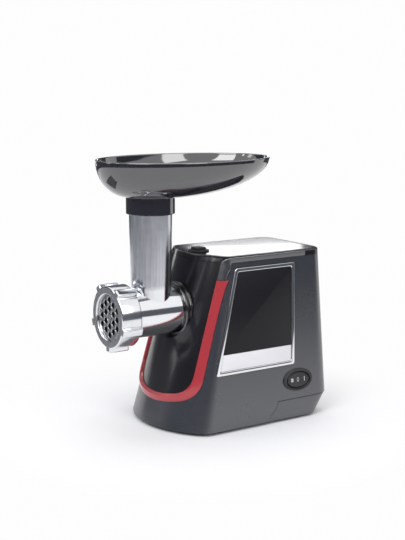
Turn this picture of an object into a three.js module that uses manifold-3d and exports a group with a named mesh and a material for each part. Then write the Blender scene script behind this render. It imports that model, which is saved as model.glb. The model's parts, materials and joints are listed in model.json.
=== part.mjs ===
// Electric meat grinder in millimetres, +Z up, with the grinding head facing -Y.
// The model is laid out round the feed tube's axis (X = 0, Y = 0) on the floor at Z = 0, and the
// finished group is moved so that its origin is the centre of its footprint.
import * as THREE from "three";
import { mergeVertices } from "three/addons/utils/BufferGeometryUtils.js";
import Module from "manifold-3d";

const wasm = await Module();
wasm.setup();

// Clearances
const seatGap = 0.3; // between two pieces that rest on each other
const runGap = 0.6; // between a turning piece and its housing
const overrun = 6; // how far a cutting tool runs past the face it cuts
const weld = 1e-4; // distance at which vertices are one

// Sides of round things
const fineSides = 28;
const middleSides = 16;
const coarseSides = 10;
const holeSides = 8;
const hexSides = 6;
const frontSteps = 12; // along the bowed front
const cornerSteps = 3; // round one corner
const bandSteps = 8; // round one bend of the band

// Housing: a shell that narrows upwards, with a bowed front that leans back
const bodyTop = 183.5;
const bodyBaseHalf = 73;
const bodyTopHalf = 53.5;
const bodyRear = 190;
const frontBaseY = -10;
const frontTopY = 46.5;
const frontArc = 98;
const frontCorner = 6.5;
const frontCornerFoot = 20;
const rearCorner = 18;
const bodyWall = 3;
const footHeight = 3;
const seamZ = 177; // where the shell and the front cover end and the lid begins
const lidEdge = 3; // bevel round the lid
const basePlate = 3;

// Skirt under the rear, which draws in towards the floor
const skirtTop = 22.5;
const skirtFront = 117.5;
const skirtFoot = 101.5;
const skirtRear = 175;
const skirtInset = 0.8;

// Red band and the dark rim that carries it on
const bandInnerHalf = 50;
const bandInnerBottom = 37;
const bandInnerTopHalf = 48;
const bandOuterHalf = 59;
const bandOuterBottom = 29;
const bandOuterTopHalf = 55.3;
const bandTop = 159.5;
const bandSag = 4; // how much the bottom of the band bows down
const bandProud = 2.2;
const bandDepth = 1.3;
const bandWrap = 24; // how far back from the foremost line the band may reach
const bandFootShare = 0.65; // half width of the band's flat foot, against its half width
const bandBowShare = 1.5; // how much of the bow has risen at the ends of the foot
const bandShoulderShare = 1.4; // height of the lower corners, against their width
const rimWidth = 6.2;
const rimTop = 182.6;
const rimRear = 162;

// Label on the right side: distances back from the tube axis and up the sloping side
const labelFrontBottom = 38.5;
const labelFrontTop = 70.2;
const labelRearBottom = 140.7;
const labelRearTop = 147.9;
const labelBottom = 61;
const labelTop = 171;
const labelFrameWidth = 4;
const labelFrameProud = 0.7;
const labelRecess = 1.6;
const labelPanel = 1.2; // thickness of the plates inside the frame
const bandLine = 82.4; // where the white strip ends and the dark plate begins
const labelCorner = 3;

// Rocker switch on the same side
const switchY = 144.2;
const switchZ = 43.4;
const switchLength = 39.5;
const switchHeight = 24.7;
const switchProud = 1.6;
const rockerLength = 29.2;
const rockerHeight = 17;
const rockerSwing = 1; // room past each end of the rocker for its tilt
const rockerDepth = 4.2;
const rockerDip = 0.8; // how far the middle of the rocker lies below its ends
const rockerPin = 1.4;
const rockerPinDepth = 3.2;
const bezelSkirt = 7.5;
const bezelWall = 2;
const switchBoxDepth = 14;

// Grinding head
const barrelZ = 123;
const boreRadius = 22.3;
const barrelWall = 3;
const barrelRear = 18.5; // rear face of the wall behind the auger
const shoulderRear = 25; // where the barrel steps down to the hub
const mouthRadius = 29.2;
const mouthFront = -48;
const mouthRear = -31;
const backWall = 5;
const hubRadius = 24;
const hubRear = 50;
const hubBore = 15.5;
const tubeTopRadius = 22.9;
const tubeFootRadius = 20.9;
const tubeBore = 18.8;
const tubeTop = 244;
const tubeShelf = 33; // height above the barrel's axis from which the tube's bore is whole

// Ring nut, plate and knife
const ringFront = -52.8;
const ringLength = 23;
const ringRadius = 33;
const ringLip = 2;
const ringOpening = 24.4;
const ringChamfer = 1.5;
const ringLugs = 5;
const lugReach = 4.2;
const lugWidth = 9;
const lugPhase = (-54 * Math.PI) / 180;
const threadGap = 0.4;
const plateRadius = 27;
const plateThickness = 5;
const plateHole = 3.3;
const platePitch = 9.3;
const plateBearing = 4.6;
const plateKey = 2.4;
const plateKeyWidth = 3.8;
const plateRows = 2; // rows of holes each side of the middle one
const knifeRadius = 23.4;
const knifeThickness = 6;
const knifeHub = 9;
const knifeBlade = 8;
const knifeBladeDepth = 3.6;
const knifeEdgeShares = [0.9, 0.6, 0.93, 0.2]; // corners of a blade, against the knife's radius and the blade

// Auger
const augerRadius = 21.5;
const augerCoreFront = 9;
const augerCoreRear = 12;
const augerTurns = 2.25;
const augerRear = 12;
const flightThickness = 3.2;
const flightSides = 12; // steps in one turn of the flight
const squareSize = 8;
const studRadius = 4;
const augerShaft = 8.6;
const shankAcross = 14;
const shankEnd = 40;

// Tray
const collarRadius = 25.6;
const collarBottom = 228.3;
const trayFloor = 246;
const trayRim = 284.8;
const trayLength = 198;
const trayWidth = 143;
const trayCentre = 41.6;
const trayWall = 2.4;
const trayNeck = 24;
const bowlShares = [0.12, 0.3, 0.5, 0.7, 0.86, 0.96, 1]; // rings of the bowl, from its neck to its rim

// Socket that holds the head
const socketFront = 26.5;
const socketRim = 29.4;
const socketGroove = 28.2;
const socketRimLength = 7.5;
const socketTube = 27.6;
const socketWallBack = 3;
const bossWall = 2.5;
const bossDepth = 6;

// Release button and its latch
const buttonY = 59.5;
const buttonSize = 12.4;
const buttonTop = 188.2;
const buttonHeight = 9.7;
const buttonFlange = 1.2;
const buttonStem = 2.4;
const guideRadius = 11.6;
const guideNeck = 11;
const guideTop = 185.2;
const guideWall = 1.8;
const springLength = 5.5;
const springWire = 0.3;
const springRadius = 4.2;
const springTurns = 3;
const springSteps = 8; // steps in one turn of the spring
const springSides = 5; // sides of its wire
const leverPivotY = 49.5;
const leverPivotZ = 154;
const leverPin = 1.3;
const leverBoss = 3;
const leverWidth = 8;
const leverNoseY = 44.5;
const leverNoseThickness = 3;
const leverNoseDepth = 1.5; // how far the nose reaches into the hub's groove
const leverArmZ = 161;
const leverArmReach = 13;
const leverArmThickness = 3;
const earThickness = 2.6;
const earHalf = 3.3;
const earFoot = 4.8; // how far the ear's foot reaches in front of the pin
const earLift = 1.2; // ear's foot above the bore
const grooveFront = 40.3;
const grooveRear = 46.6;
const grooveDepth = 3;
const headTurn = (45 * Math.PI) / 180; // how far the head turns to come free

// Gear train: three spur stages from the motor to the auger
const firstModule = 1;
const middleModule = 1.25;
const outputModule = 1.5;
const gearStages = [
  { driver: 9, driven: 45, module: firstModule },
  { driver: 10, driven: 40, module: middleModule },
  { driver: 11, driven: 44, module: outputModule },
];
const backlash = 0.4;
const meshPlay = 0.2;
const pressureAngle = (20 * Math.PI) / 180;
const addendumShare = 0.78;
const dedendumShare = 1.25;
const manyTeeth = 20; // above this a flank is drawn straight
const secondAxisX = 28;
const gearboxWall = 3;
const gearboxFront = leverPivotY + leverArmReach + gearboxWall + runGap;
const caseGap = 1;
const bushWall = 3;
const outputFace = 12;
const middleFace = 9;
const firstFace = 6;
const layerGap = 2;
const gearPinRadius = 3;
const gearHub = 6.5;
const outputShaft = 8;
const couplingRadius = 12.5;
const couplingFront = 24;
const gearLegHalf = 36;
const footFlange = 12;
const footBlock = 6;
const gearScrewX = 28;

// Motor
const statorWidth = 74;
const statorHeight = 60;
const statorLength = 27;
const statorBore = 21;
const armatureGap = 0.8;
const motorShaft = 4;
const fanRadius = 29;
const fanBlades = 8;
const fanLength = 7;
const fanPlate = 1.6;
const fanHub = 8;
const coilReach = 6;
const coilWidth = 8;
const coilInner = 16;
const coilX = 16;
const coilThickness = 12;
const statorCorner = 8;
const armatureEnd = 15;
const boltX = 33;
const boltRadius = 1.8;
const boltPad = 5;
const commutatorRadius = 11;
const commutatorLength = 9;
const brushSize = 6;
const brushLength = 14;
const brushWall = 1.5;
const bearingRadius = 9;
const bearingLength = 6;
const bracketThickness = 3;
const bracketRim = 6; // metal round the rear bearing

// Feet, screws, board and cord inlet
const footRadius = 9;
const footPlug = 3;
const footFrontInset = 25; // from the side of the housing's foot to the middle of a rubber foot
const footFrontY = 24;
const footRearInset = 23;
const footRearGap = 17; // from the back of the skirt's foot to the middle of a rear foot
const screwHead = 3.6;
const screwShank = 1.7;
const screwLength = 12;
const screwHeadHeight = 2;
const screwSlotShare = 0.7; // slot across the head, against the head and the shank
const rearScrewInset = 43; // from the side of the housing's foot to a rear screw
const rearScrewGap = 13; // from the back of the skirt's foot to a rear screw
const tabWidth = 12;
const boardWidth = 40;
const boardLength = 30;
const boardThickness = 1.6;
const boardY = 38;
const boardLift = 3;
const boardPost = 2.5;
const ventCount = 6;
const ventFrom = 118;
const ventPitch = 7;
const ventLength = 34;
const ventWidth = 3;
const inletRadius = 7;
const inletBore = 3.4;
const inletStep = 2;
const inletX = -36;
const inletZ = 36;

// Looks
const charcoal = { color: 0x3f4045, roughness: 0.42, metalness: 0 };
const glossBlack = { color: 0x141417, roughness: 0.12, metalness: 0 };
const black = { color: 0x1b1b1e, roughness: 0.5, metalness: 0 };
const red = { color: 0xb3202f, roughness: 0.25, metalness: 0 };
const white = { color: 0xeae8ec, roughness: 0.3, metalness: 0 };
const chrome = { color: 0xe6e8ec, roughness: 0.08, metalness: 1 };
const aluminium = { color: 0xc9ccd2, roughness: 0.18, metalness: 1 };
const steel = { color: 0xb9bcc2, roughness: 0.3, metalness: 1 };
const darkSteel = { color: 0x6d7077, roughness: 0.45, metalness: 1 };
const copper = { color: 0xb8693a, roughness: 0.35, metalness: 1 };
const nylon = { color: 0xe4e1d6, roughness: 0.5, metalness: 0 };
const rubber = { color: 0x121214, roughness: 0.85, metalness: 0 };
const boardGreen = { color: 0x2c5a3a, roughness: 0.6, metalness: 0 };
const carbon = { color: 0x2a2a2c, roughness: 0.7, metalness: 0.2 };

// Places that follow from the sizes above
const plateTop = footHeight + basePlate;
const plateInset = skirtInset + bodyWall + seatGap;

const bezelHole = [rockerLength + 2 * rockerSwing, rockerHeight + 2 * runGap];
const bezelBody = [bezelHole[0] + 2 * bezelWall, bezelHole[1] + 2 * bezelWall];

const socketBack = hubRear + seatGap + socketWallBack;
const rimBack = socketFront + socketRimLength;
const bossFront = rimBack - socketWallBack;
const bossRadius = socketRim + runGap + bossWall;

const buttonFoot = buttonTop - buttonHeight;
const guideFloorTop = buttonFoot - springLength;
const guideBottom = guideFloorTop - guideWall;

const plateRear = ringFront + ringLip + seatGap + plateThickness;
const knifeFront = plateRear + seatGap;
const augerFront = knifeFront + knifeThickness + seatGap;
const seatRadius = plateRadius + seatGap;

const centreDistance = ({ driver, driven, module }) => ((driver + driven) * module) / 2 + meshPlay;
const [firstStage, middleStage, outputStage] = gearStages;
const outputAxis = new THREE.Vector2(0, barrelZ);
const secondDrop = Math.sqrt(centreDistance(outputStage) ** 2 - secondAxisX ** 2);
const secondAxis = new THREE.Vector2(secondAxisX, barrelZ - secondDrop);
const firstDrop = Math.sqrt(centreDistance(middleStage) ** 2 - secondAxisX ** 2);
const firstAxis = new THREE.Vector2(0, secondAxis.y - firstDrop);
const motorAxis = new THREE.Vector2(0, firstAxis.y - centreDistance(firstStage));

const outputFrom = gearboxFront + gearboxWall + layerGap;
const outputTo = outputFrom + outputFace;
const middleFrom = outputTo + layerGap;
const middleTo = middleFrom + middleFace;
const firstFrom = middleTo + layerGap;
const firstTo = firstFrom + firstFace;

const gearSpace = (teeth, module) => (teeth * module) / 2 + module + caseGap;
const caseRooms = [
  [outputAxis, gearSpace(outputStage.driven, outputStage.module)],
  [secondAxis, gearSpace(middleStage.driven, middleStage.module)],
  [firstAxis, gearSpace(firstStage.driven, firstStage.module)],
  [motorAxis, gearSpace(firstStage.driver, firstStage.module)],
];
const caseBack = firstTo + layerGap;
const gearboxBack = caseBack + seatGap + gearboxWall;

const fanFrom = gearboxBack - gearboxWall + bearingLength + runGap;
const fanTo = fanFrom + fanPlate + fanLength;
const statorFrom = fanTo + runGap + coilReach + seatGap;
const statorTo = statorFrom + statorLength;
const commutatorFrom = statorTo + coilReach + runGap;
const commutatorTo = commutatorFrom + commutatorLength;
const bracketBack = commutatorTo + runGap + bearingLength;
const bracketFront = bracketBack - bracketThickness;
const brushY = commutatorFrom + commutatorLength / 2;

const footPlaces = [-1, 1].flatMap((way) => [
  ["front", way, bodyBaseHalf - footFrontInset, footFrontY],
  ["rear", way, bodyBaseHalf - footRearInset, skirtRear - footRearGap],
]);
const screwPlaces = [
  [-1, gearScrewX, gearboxBack + footFlange / 2],
  [1, gearScrewX, gearboxBack + footFlange / 2],
  [-1, bodyBaseHalf - rearScrewInset, skirtRear - rearScrewGap],
  [1, bodyBaseHalf - rearScrewInset, skirtRear - rearScrewGap],
];
const sideName = (way) => (way > 0 ? "right" : "left");

// Solids
function solidOf(geometry) {
  const plain = new THREE.BufferGeometry();
  plain.setAttribute("position", geometry.attributes.position.clone());
  if (geometry.index) plain.setIndex(geometry.index.clone());
  const merged = mergeVertices(plain, weld);
  const points = merged.attributes.position;
  const corners = merged.index.array;
  const kept = [];
  let volume = 0;
  for (let i = 0; i < corners.length; i += 3) {
    const [a, b, c] = [corners[i], corners[i + 1], corners[i + 2]];
    if (a === b || b === c || c === a) continue;
    kept.push(a, b, c);
    const [p, q, r] = [a, b, c].map((k) => new THREE.Vector3().fromBufferAttribute(points, k));
    volume += p.dot(q.cross(r));
  }
  if (volume < 0) {
    for (let i = 0; i < kept.length; i += 3) [kept[i], kept[i + 1]] = [kept[i + 1], kept[i]];
  }
  const vertProperties = new Float32Array(points.array);
  const triVerts = new Uint32Array(kept);
  return new wasm.Manifold(new wasm.Mesh({ numProp: 3, vertProperties, triVerts }));
}

function geometryOf(solid) {
  const mesh = solid.getMesh();
  const geometry = new THREE.BufferGeometry();
  geometry.setAttribute("position", new THREE.BufferAttribute(mesh.vertProperties, 3));
  geometry.setIndex(new THREE.BufferAttribute(mesh.triVerts, 1));
  return geometry;
}

const cut = (base, ...tools) => tools.reduce((rest, tool) => rest.subtract(tool), base);
const join = (base, ...more) => more.reduce((sum, solid) => sum.add(solid), base);

// A closed body through rings of equally many points, capped at both ends
function loft(rings) {
  const count = rings[0].length;
  const points = rings.flat().flatMap((p) => [p.x, p.y, p.z]);
  const faces = [];
  for (let i = 0; i + 1 < rings.length; i += 1) {
    for (let j = 0; j < count; j += 1) {
      const [a, b] = [i * count + j, i * count + ((j + 1) % count)];
      faces.push(a, b, b + count, a, b + count, a + count);
    }
  }
  for (const ring of [0, rings.length - 1]) {
    const middle = new THREE.Vector3();
    rings[ring].forEach((p) => middle.addScaledVector(p, 1 / count));
    const centre = points.length / 3;
    points.push(middle.x, middle.y, middle.z);
    for (let j = 0; j < count; j += 1) {
      const [a, b] = [ring * count + j, ring * count + ((j + 1) % count)];
      faces.push(...(ring === 0 ? [b, a, centre] : [a, b, centre]));
    }
  }
  return geometryFrom(points, faces);
}

// A closed body through rings that come back to the first one, round a hole
function loop(rings) {
  const count = rings[0].length;
  const points = rings.flat().flatMap((p) => [p.x, p.y, p.z]);
  const faces = [];
  for (let i = 0; i < rings.length; i += 1) {
    const next = ((i + 1) % rings.length) * count;
    for (let j = 0; j < count; j += 1) {
      const [a, b] = [i * count + j, i * count + ((j + 1) % count)];
      const [c, d] = [next + ((j + 1) % count), next + j];
      faces.push(a, b, c, a, c, d);
    }
  }
  return geometryFrom(points, faces);
}

function geometryFrom(points, faces) {
  const geometry = new THREE.BufferGeometry();
  geometry.setAttribute("position", new THREE.Float32BufferAttribute(points, 3));
  geometry.setIndex(faces);
  return geometry;
}

// A body turned round the Y axis from [radius, y] pairs that close on themselves or on the axis
function turned(profile, sides = fineSides) {
  const closed = profile[0][0] > 0 ? [...profile, profile[0]] : profile;
  return new THREE.LatheGeometry(closed.map(([r, y]) => new THREE.Vector2(r, y)), sides);
}

function rod(radius, from, to, sides = middleSides) {
  return turned([[0, from], [radius, from], [radius, to], [0, to]], sides);
}

function tube(outer, inner, from, to, sides = fineSides) {
  return turned([[inner, from], [outer, from], [outer, to], [inner, to]], sides);
}

const upright = (geometry) => geometry.rotateX(Math.PI / 2);

function box(x, y, z, from) {
  return new THREE.BoxGeometry(x, y, z).translate(...from.map((v, i) => v + [x, y, z][i] / 2));
}

function outline(points) {
  return new THREE.Shape(points.map(([x, y]) => new THREE.Vector2(x, y)));
}

function slab(shape, depth, curveSegments = 6) {
  return new THREE.ExtrudeGeometry(shape, { depth, bevelEnabled: false, curveSegments });
}

// A slab whose outline lies in the X-Z plane, running from y = from to y = to
function slabAlongY(shape, from, to, curveSegments) {
  return slab(shape, to - from, curveSegments).rotateX(Math.PI / 2).translate(0, to, 0);
}

// A slab whose outline lies in the Y-Z plane, centred on x = 0
function slabAlongX(shape, width) {
  return slab(shape, width).rotateX(Math.PI / 2).rotateZ(Math.PI / 2).translate(-width / 2, 0, 0);
}

// The outline of a convex polygon moved inwards, with rounded corners
function rounded(points, inset, radius) {
  const count = points.length;
  const at = (i) => new THREE.Vector2(...points[(i + count) % count]);
  const corners = points.map((_, i) => {
    const [a, b, c] = [at(i - 1), at(i), at(i + 1)];
    const before = b.clone().sub(a).normalize();
    const after = c.clone().sub(b).normalize();
    const lean = before.x * after.y - before.y * after.x;
    const along = (1 - before.dot(after)) / lean;
    const inward = new THREE.Vector2(-before.y, before.x);
    return b.addScaledVector(inward, inset).addScaledVector(before, -inset * along);
  });
  const shape = new THREE.Shape();
  corners.forEach((corner, i) => {
    const previous = corners[(i + count - 1) % count];
    const next = corners[(i + 1) % count];
    const start = corner.clone().add(previous.clone().sub(corner).setLength(radius));
    const end = corner.clone().add(next.clone().sub(corner).setLength(radius));
    if (i === 0) shape.moveTo(start.x, start.y);
    else shape.lineTo(start.x, start.y);
    shape.quadraticCurveTo(corner.x, corner.y, end.x, end.y);
  });
  shape.closePath();
  return shape;
}

// Scene
const grinder = new THREE.Group();

function piece(name, solid, look, parent = grinder) {
  const mesh = new THREE.Mesh(geometryOf(solid), new THREE.MeshStandardMaterial(look));
  mesh.name = name;
  parent.add(mesh);
  return mesh;
}

// Housing outline at one height, drawn in by an inset
function bodyRing(z, inset, backY = bodyRear) {
  const rise = z / bodyTop;
  const half = THREE.MathUtils.lerp(bodyBaseHalf, bodyTopHalf, rise) - inset;
  const arc = frontArc - inset;
  const arcY = THREE.MathUtils.lerp(frontBaseY, frontTopY, rise) + frontArc;
  const front = THREE.MathUtils.lerp(frontCornerFoot, frontCorner, rise) - inset;
  const rear = rearCorner - inset;
  const cornerX = half - front;
  const cornerY = arcY - Math.sqrt((arc - front) ** 2 - cornerX ** 2);
  const sweep = Math.atan2(cornerX, arcY - cornerY);
  const points = [];
  const bend = (x, y, radius, from, to, steps, skip = 0) => {
    for (let i = skip; i <= steps; i += 1) {
      const angle = from + ((to - from) * i) / steps;
      points.push(new THREE.Vector3(x + radius * Math.sin(angle), y - radius * Math.cos(angle), z));
    }
  };
  const quarter = Math.PI / 2;
  bend(0, arcY, arc, -sweep, sweep, frontSteps);
  bend(cornerX, cornerY, front, sweep, quarter, cornerSteps, 1);
  bend(half - rear, backY - inset - rear, rear, quarter, 2 * quarter, cornerSteps);
  bend(rear - half, backY - inset - rear, rear, 2 * quarter, 3 * quarter, cornerSteps);
  bend(-cornerX, cornerY, front, 3 * quarter, 4 * quarter - sweep, cornerSteps);
  points.pop();
  return points;
}

const bodySolid = (inset, from, to) => solidOf(loft([bodyRing(from, inset), bodyRing(to, inset)]));
const frontY = (z) => THREE.MathUtils.lerp(frontBaseY, frontTopY, z / bodyTop);
const deep = bodyBaseHalf + bodyRear; // longer than anything that is cut

// Everything in front of a plane that leans back with the front
function frontZone() {
  const lean = (z) => [frontY(z) + bandWrap, z];
  const top = bodyTop + 2 * overrun;
  const zone = outline([[-deep, -overrun], lean(-overrun), lean(top), [-deep, top]]);
  return solidOf(slabAlongX(zone, 2 * deep));
}

// The U of the band seen from the front, cut as a prism that reaches only the front wall
function bandPrism(half, bottom, topHalf, top, grow) {
  const foot = half * bandFootShare;
  const footZ = bottom + bandSag * (foot / bandOuterHalf) * bandBowShare;
  const lean = (topHalf - half) / (bandTop - bottom);
  const shoulder = bottom + (half - foot) * bandShoulderShare;
  const side = (z) => half + lean * (z - shoulder) + grow;
  const cornerZ = footZ + (2 * (footZ - bottom) * (half - foot)) / foot;
  const shape = new THREE.Shape();
  shape.moveTo(-side(top), top);
  shape.lineTo(-side(shoulder), shoulder);
  shape.quadraticCurveTo(-side(cornerZ), cornerZ - grow, -foot, footZ - grow);
  shape.quadraticCurveTo(0, 2 * bottom - footZ - grow, foot, footZ - grow);
  shape.quadraticCurveTo(side(cornerZ), cornerZ - grow, side(shoulder), shoulder);
  shape.lineTo(side(top), top);
  shape.closePath();
  return solidOf(slabAlongY(shape, frontBaseY - overrun, bodyRear / 2, bandSteps)).intersect(frontZone());
}

function innerBand(top, grow = 0) {
  return bandPrism(bandInnerHalf, bandInnerBottom, bandInnerTopHalf, top, grow);
}

function outerBand(top, grow = 0) {
  return bandPrism(bandOuterHalf, bandOuterBottom, bandOuterTopHalf, top, grow);
}

// Sloping right side: x runs back along the side, y up the slope and z straight out of it
const sideTilt = Math.atan2(bodyBaseHalf - bodyTopHalf, bodyTop);
const side = new THREE.Group();
side.matrix.makeBasis(
  new THREE.Vector3(0, 1, 0),
  new THREE.Vector3(-Math.sin(sideTilt), 0, Math.cos(sideTilt)),
  new THREE.Vector3(Math.cos(sideTilt), 0, Math.sin(sideTilt)),
);
side.matrix.setPosition(bodyBaseHalf, 0, 0);
side.matrix.decompose(side.position, side.quaternion, side.scale);
grinder.add(side);
const onSide = (geometry) => solidOf(geometry.applyMatrix4(side.matrix));
const upSide = (z) => z / Math.cos(sideTilt);

// Label: a chrome frame round a dark plate above a white strip
const labelCorners = [
  [labelFrontBottom, upSide(labelBottom)],
  [labelRearBottom, upSide(labelBottom)],
  [labelRearTop, upSide(labelTop)],
  [labelFrontTop, upSide(labelTop)],
];
const labelFace = -labelRecess + seatGap;

function labelSlab(inset, from, to) {
  return slab(rounded(labelCorners, inset, labelCorner), to - from, cornerSteps).translate(0, 0, from);
}

function makeLabel() {
  const inner = labelSlab(labelFrameWidth, labelFace - overrun, labelFrameProud + overrun);
  const frame = solidOf(labelSlab(0, labelFace, labelFrameProud));
  piece("label_frame", cut(frame, solidOf(inner)), chrome, side);
  const plates = solidOf(labelSlab(labelFrameWidth + seatGap, labelFace, labelFace + labelPanel));
  const half = (from) => solidOf(box(deep, deep, overrun, [0, from, labelFace - seatGap]));
  const above = half(upSide(bandLine));
  const below = half(upSide(bandLine) - seatGap - deep);
  piece("label_plate", plates.intersect(above), glossBlack, side);
  piece("label_strip", plates.intersect(below), white, side);
}

// Rocker switch: an oval bezel, a rocker on two pins and the switch box behind it
function ovalAt(length, height, from, to) {
  const shape = new THREE.Shape();
  shape.absellipse(0, 0, length / 2, height / 2, 0, Math.PI * 2);
  return slab(shape, to - from, middleSides / 2).translate(0, 0, from);
}

const ovalSlab = (...sizes) => ovalAt(...sizes).translate(switchY, upSide(switchZ), 0);

function atSwitch(x, y, z, from) {
  return box(x, y, z, [switchY - x / 2, upSide(switchZ) - y / 2, from]);
}

function makeSwitch() {
  const rim = solidOf(ovalSlab(switchLength, switchHeight, seatGap, switchProud));
  const skirt = solidOf(ovalSlab(...bezelBody, -bezelSkirt, switchProud));
  const hole = solidOf(ovalSlab(...bezelHole, -bezelSkirt - overrun, switchProud + overrun));
  const pins = rod(rockerPin + seatGap, -bezelBody[1], bezelBody[1], coarseSides);
  const pinHole = solidOf(pins.translate(switchY, upSide(switchZ), -rockerPinDepth));
  piece("switch_bezel", cut(join(rim, skirt), hole, pinHole), black, side);
  const half = rockerLength / 2;
  const profile = outline([
    [-half, -rockerDepth / 2],
    [-2 * rockerPin, -rockerDepth - rockerPin],
    [2 * rockerPin, -rockerDepth - rockerPin],
    [half, -rockerDepth / 2],
    [half, switchProud],
    [0, switchProud - rockerDip],
    [-half, switchProud],
  ]);
  const bar = slab(profile, rockerHeight).translate(0, 0, -rockerHeight / 2).rotateX(Math.PI / 2);
  const axle = rod(rockerPin, -bezelBody[1] / 2 + seatGap, bezelBody[1] / 2 - seatGap, coarseSides);
  axle.translate(0, 0, -rockerPinDepth);
  const top = solidOf(ovalAt(rockerLength, rockerHeight, -deep, deep));
  const body = solidOf(bar).intersect(top);
  const rocker = piece("switch_rocker", join(body, solidOf(axle)), glossBlack, side);
  rocker.position.set(switchY, upSide(switchZ), 0);
  const back = -bezelSkirt - seatGap;
  piece("switch_box", solidOf(atSwitch(...bezelBody, switchBoxDepth, back - switchBoxDepth)), black, side);
}

// Socket: a tube that takes the head's hub, with a grooved rim in front of the housing
const alongBarrel = (geometry) => solidOf(geometry.translate(0, 0, barrelZ));

function makeSocket() {
  const third = socketRimLength / 3;
  const outside = turned([
    [0, socketFront],
    [socketRim, socketFront],
    [socketRim, socketFront + third],
    [socketGroove, socketFront + third],
    [socketGroove, socketFront + 2 * third],
    [socketRim, socketFront + 2 * third],
    [socketRim, rimBack],
    [socketTube, rimBack],
    [socketTube, socketBack],
    [0, socketBack],
  ]);
  const bore = rod(hubRadius + seatGap, socketFront - overrun, hubRear + seatGap, fineSides);
  const shaftHole = rod(couplingRadius + runGap, socketFront, socketBack + overrun);
  const slot = box(leverWidth + 2 * runGap, grooveRear - grooveFront + runGap, deep, [
    -leverWidth / 2 - runGap,
    grooveFront - runGap / 2,
    barrelZ,
  ]);
  const ears = [-1, 1].map((way) => {
    const ear = outline([
      [leverPivotY - earFoot, barrelZ + hubRadius + earLift],
      [leverPivotY + earHalf, barrelZ + hubRadius + earLift],
      [leverPivotY + earHalf, leverPivotZ + leverBoss],
      [leverPivotY - earHalf, leverPivotZ + leverBoss],
    ]);
    const place = way * (leverWidth / 2 + seatGap + earThickness / 2);
    return solidOf(slabAlongX(ear, earThickness).translate(place, 0, 0));
  });
  const pinHole = rod(leverPin + seatGap, -deep, deep, coarseSides).rotateZ(Math.PI / 2);
  pinHole.translate(0, leverPivotY, leverPivotZ);
  const body = cut(alongBarrel(outside), solidOf(slot));
  const socket = cut(join(body, ...ears), alongBarrel(bore), alongBarrel(shaftHole), solidOf(pinHole));
  piece("head_socket", socket, black);
}

// Shell, front cover, band, rims and lid share one outline and meet at named seams
const within = (inset) => bodySolid(inset, -overrun, bodyTop + overrun);
const skin = bodySolid(0, footHeight + seatGap, seamZ).subtract(within(bodyWall));
const slice = (low, high) => solidOf(box(2 * deep, 2 * deep, high - low, [-deep, -deep, low]));
const recessDepth = bandDepth + seatGap;
const bandRecess = bodySolid(-overrun, 0, bodyTop).subtract(within(recessDepth));

function makeShell() {
  const recess = bandRecess.intersect(outerBand(bodyTop + overrun, seatGap));
  const label = onSide(labelSlab(-seatGap, -labelRecess, overrun));
  const switchHole = onSide(
    ovalSlab(bezelBody[0] + 2 * seatGap, bezelBody[1] + 2 * seatGap, -deep / 4, deep),
  );
  const front = innerBand(bodyTop + overrun, seatGap);
  const shell = cut(skin, front, recess, label, switchHole, inletHole(seatGap), skirtRegion(seatGap));
  piece("housing_shell", shell, charcoal);
}

function makeFrontCover() {
  const wall = skin.intersect(innerBand(seamZ));
  const inside = bodySolid(0, 0, bodyTop);
  const boss = alongBarrel(rod(bossRadius, 0, rimBack + bossDepth, fineSides)).intersect(inside);
  const collar = alongBarrel(rod(bossRadius, bossFront, rimBack + bossDepth, fineSides));
  const pocket = alongBarrel(rod(socketRim + runGap, -deep, rimBack + seatGap, fineSides));
  const bore = alongBarrel(rod(socketTube + seatGap, -deep, deep, fineSides));
  const shape = cut(join(wall, boss, collar), pocket, bore);
  piece("front_cover", shape, glossBlack);
}

function makeBand() {
  const bead = bodySolid(-bandProud, 0, bodyTop).subtract(within(bandDepth));
  const ring = outerBand(bandTop).subtract(innerBand(bodyTop, 2 * seatGap));
  piece("band", bead.intersect(ring), red);
}

// One rim each side: up the front corner from the band and back along the top of the side
const rimFront = frontY(seamZ) + frontArc * (1 - Math.cos(Math.asin(bandInnerTopHalf / frontArc)));

function rimSolid(grow) {
  const outer = bodySolid(-bandProud, 0, bodyTop);
  const front = outer
    .subtract(within(bandDepth + grow))
    .intersect(outerBand(rimTop + grow, grow))
    .subtract(innerBand(bodyTop + overrun, 2 * seatGap - grow))
    .intersect(slice(bandTop + seatGap, rimTop + grow));
  const top = outer
    .subtract(within(rimWidth + grow))
    .intersect(slice(seamZ + seatGap, rimTop + grow))
    .intersect(solidOf(box(2 * deep, rimRear + 2 * grow - rimFront, deep, [-deep, rimFront - grow, 0])));
  return [front, top];
}

function makeRims() {
  for (const [name, way] of [["rim_right", 1], ["rim_left", -1]]) {
    const half = solidOf(box(deep, 2 * deep, deep, [way > 0 ? 0 : -deep, -deep, 0]));
    const [front, top] = rimSolid(0);
    piece(name, join(front, top).intersect(half), charcoal);
  }
}

function makeLid() {
  const outer = loft([
    bodyRing(seamZ + seatGap, 0),
    bodyRing(bodyTop - lidEdge / 2, 0),
    bodyRing(bodyTop, lidEdge),
  ]);
  const hollow = bodySolid(bodyWall + lidEdge, 0, bodyTop - bodyWall);
  const rims = rimSolid(seatGap);
  const guideHole = upright(rod(guideNeck + seatGap, 0, deep)).translate(0, buttonY, 0);
  piece("lid", cut(solidOf(outer), hollow, ...rims, solidOf(guideHole)), glossBlack);
}

// Base: a skirt under the rear that draws in to the floor, a bottom plate, feet and screws
const skirtRegion = (grow) =>
  solidOf(
    slabAlongX(
      outline([
        [skirtFoot - grow, -overrun],
        [skirtFoot - grow, 0],
        [skirtFront - grow, skirtTop + grow],
        [deep, skirtTop + grow],
        [deep, -overrun],
      ]),
      2 * deep,
    ),
  );

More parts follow.
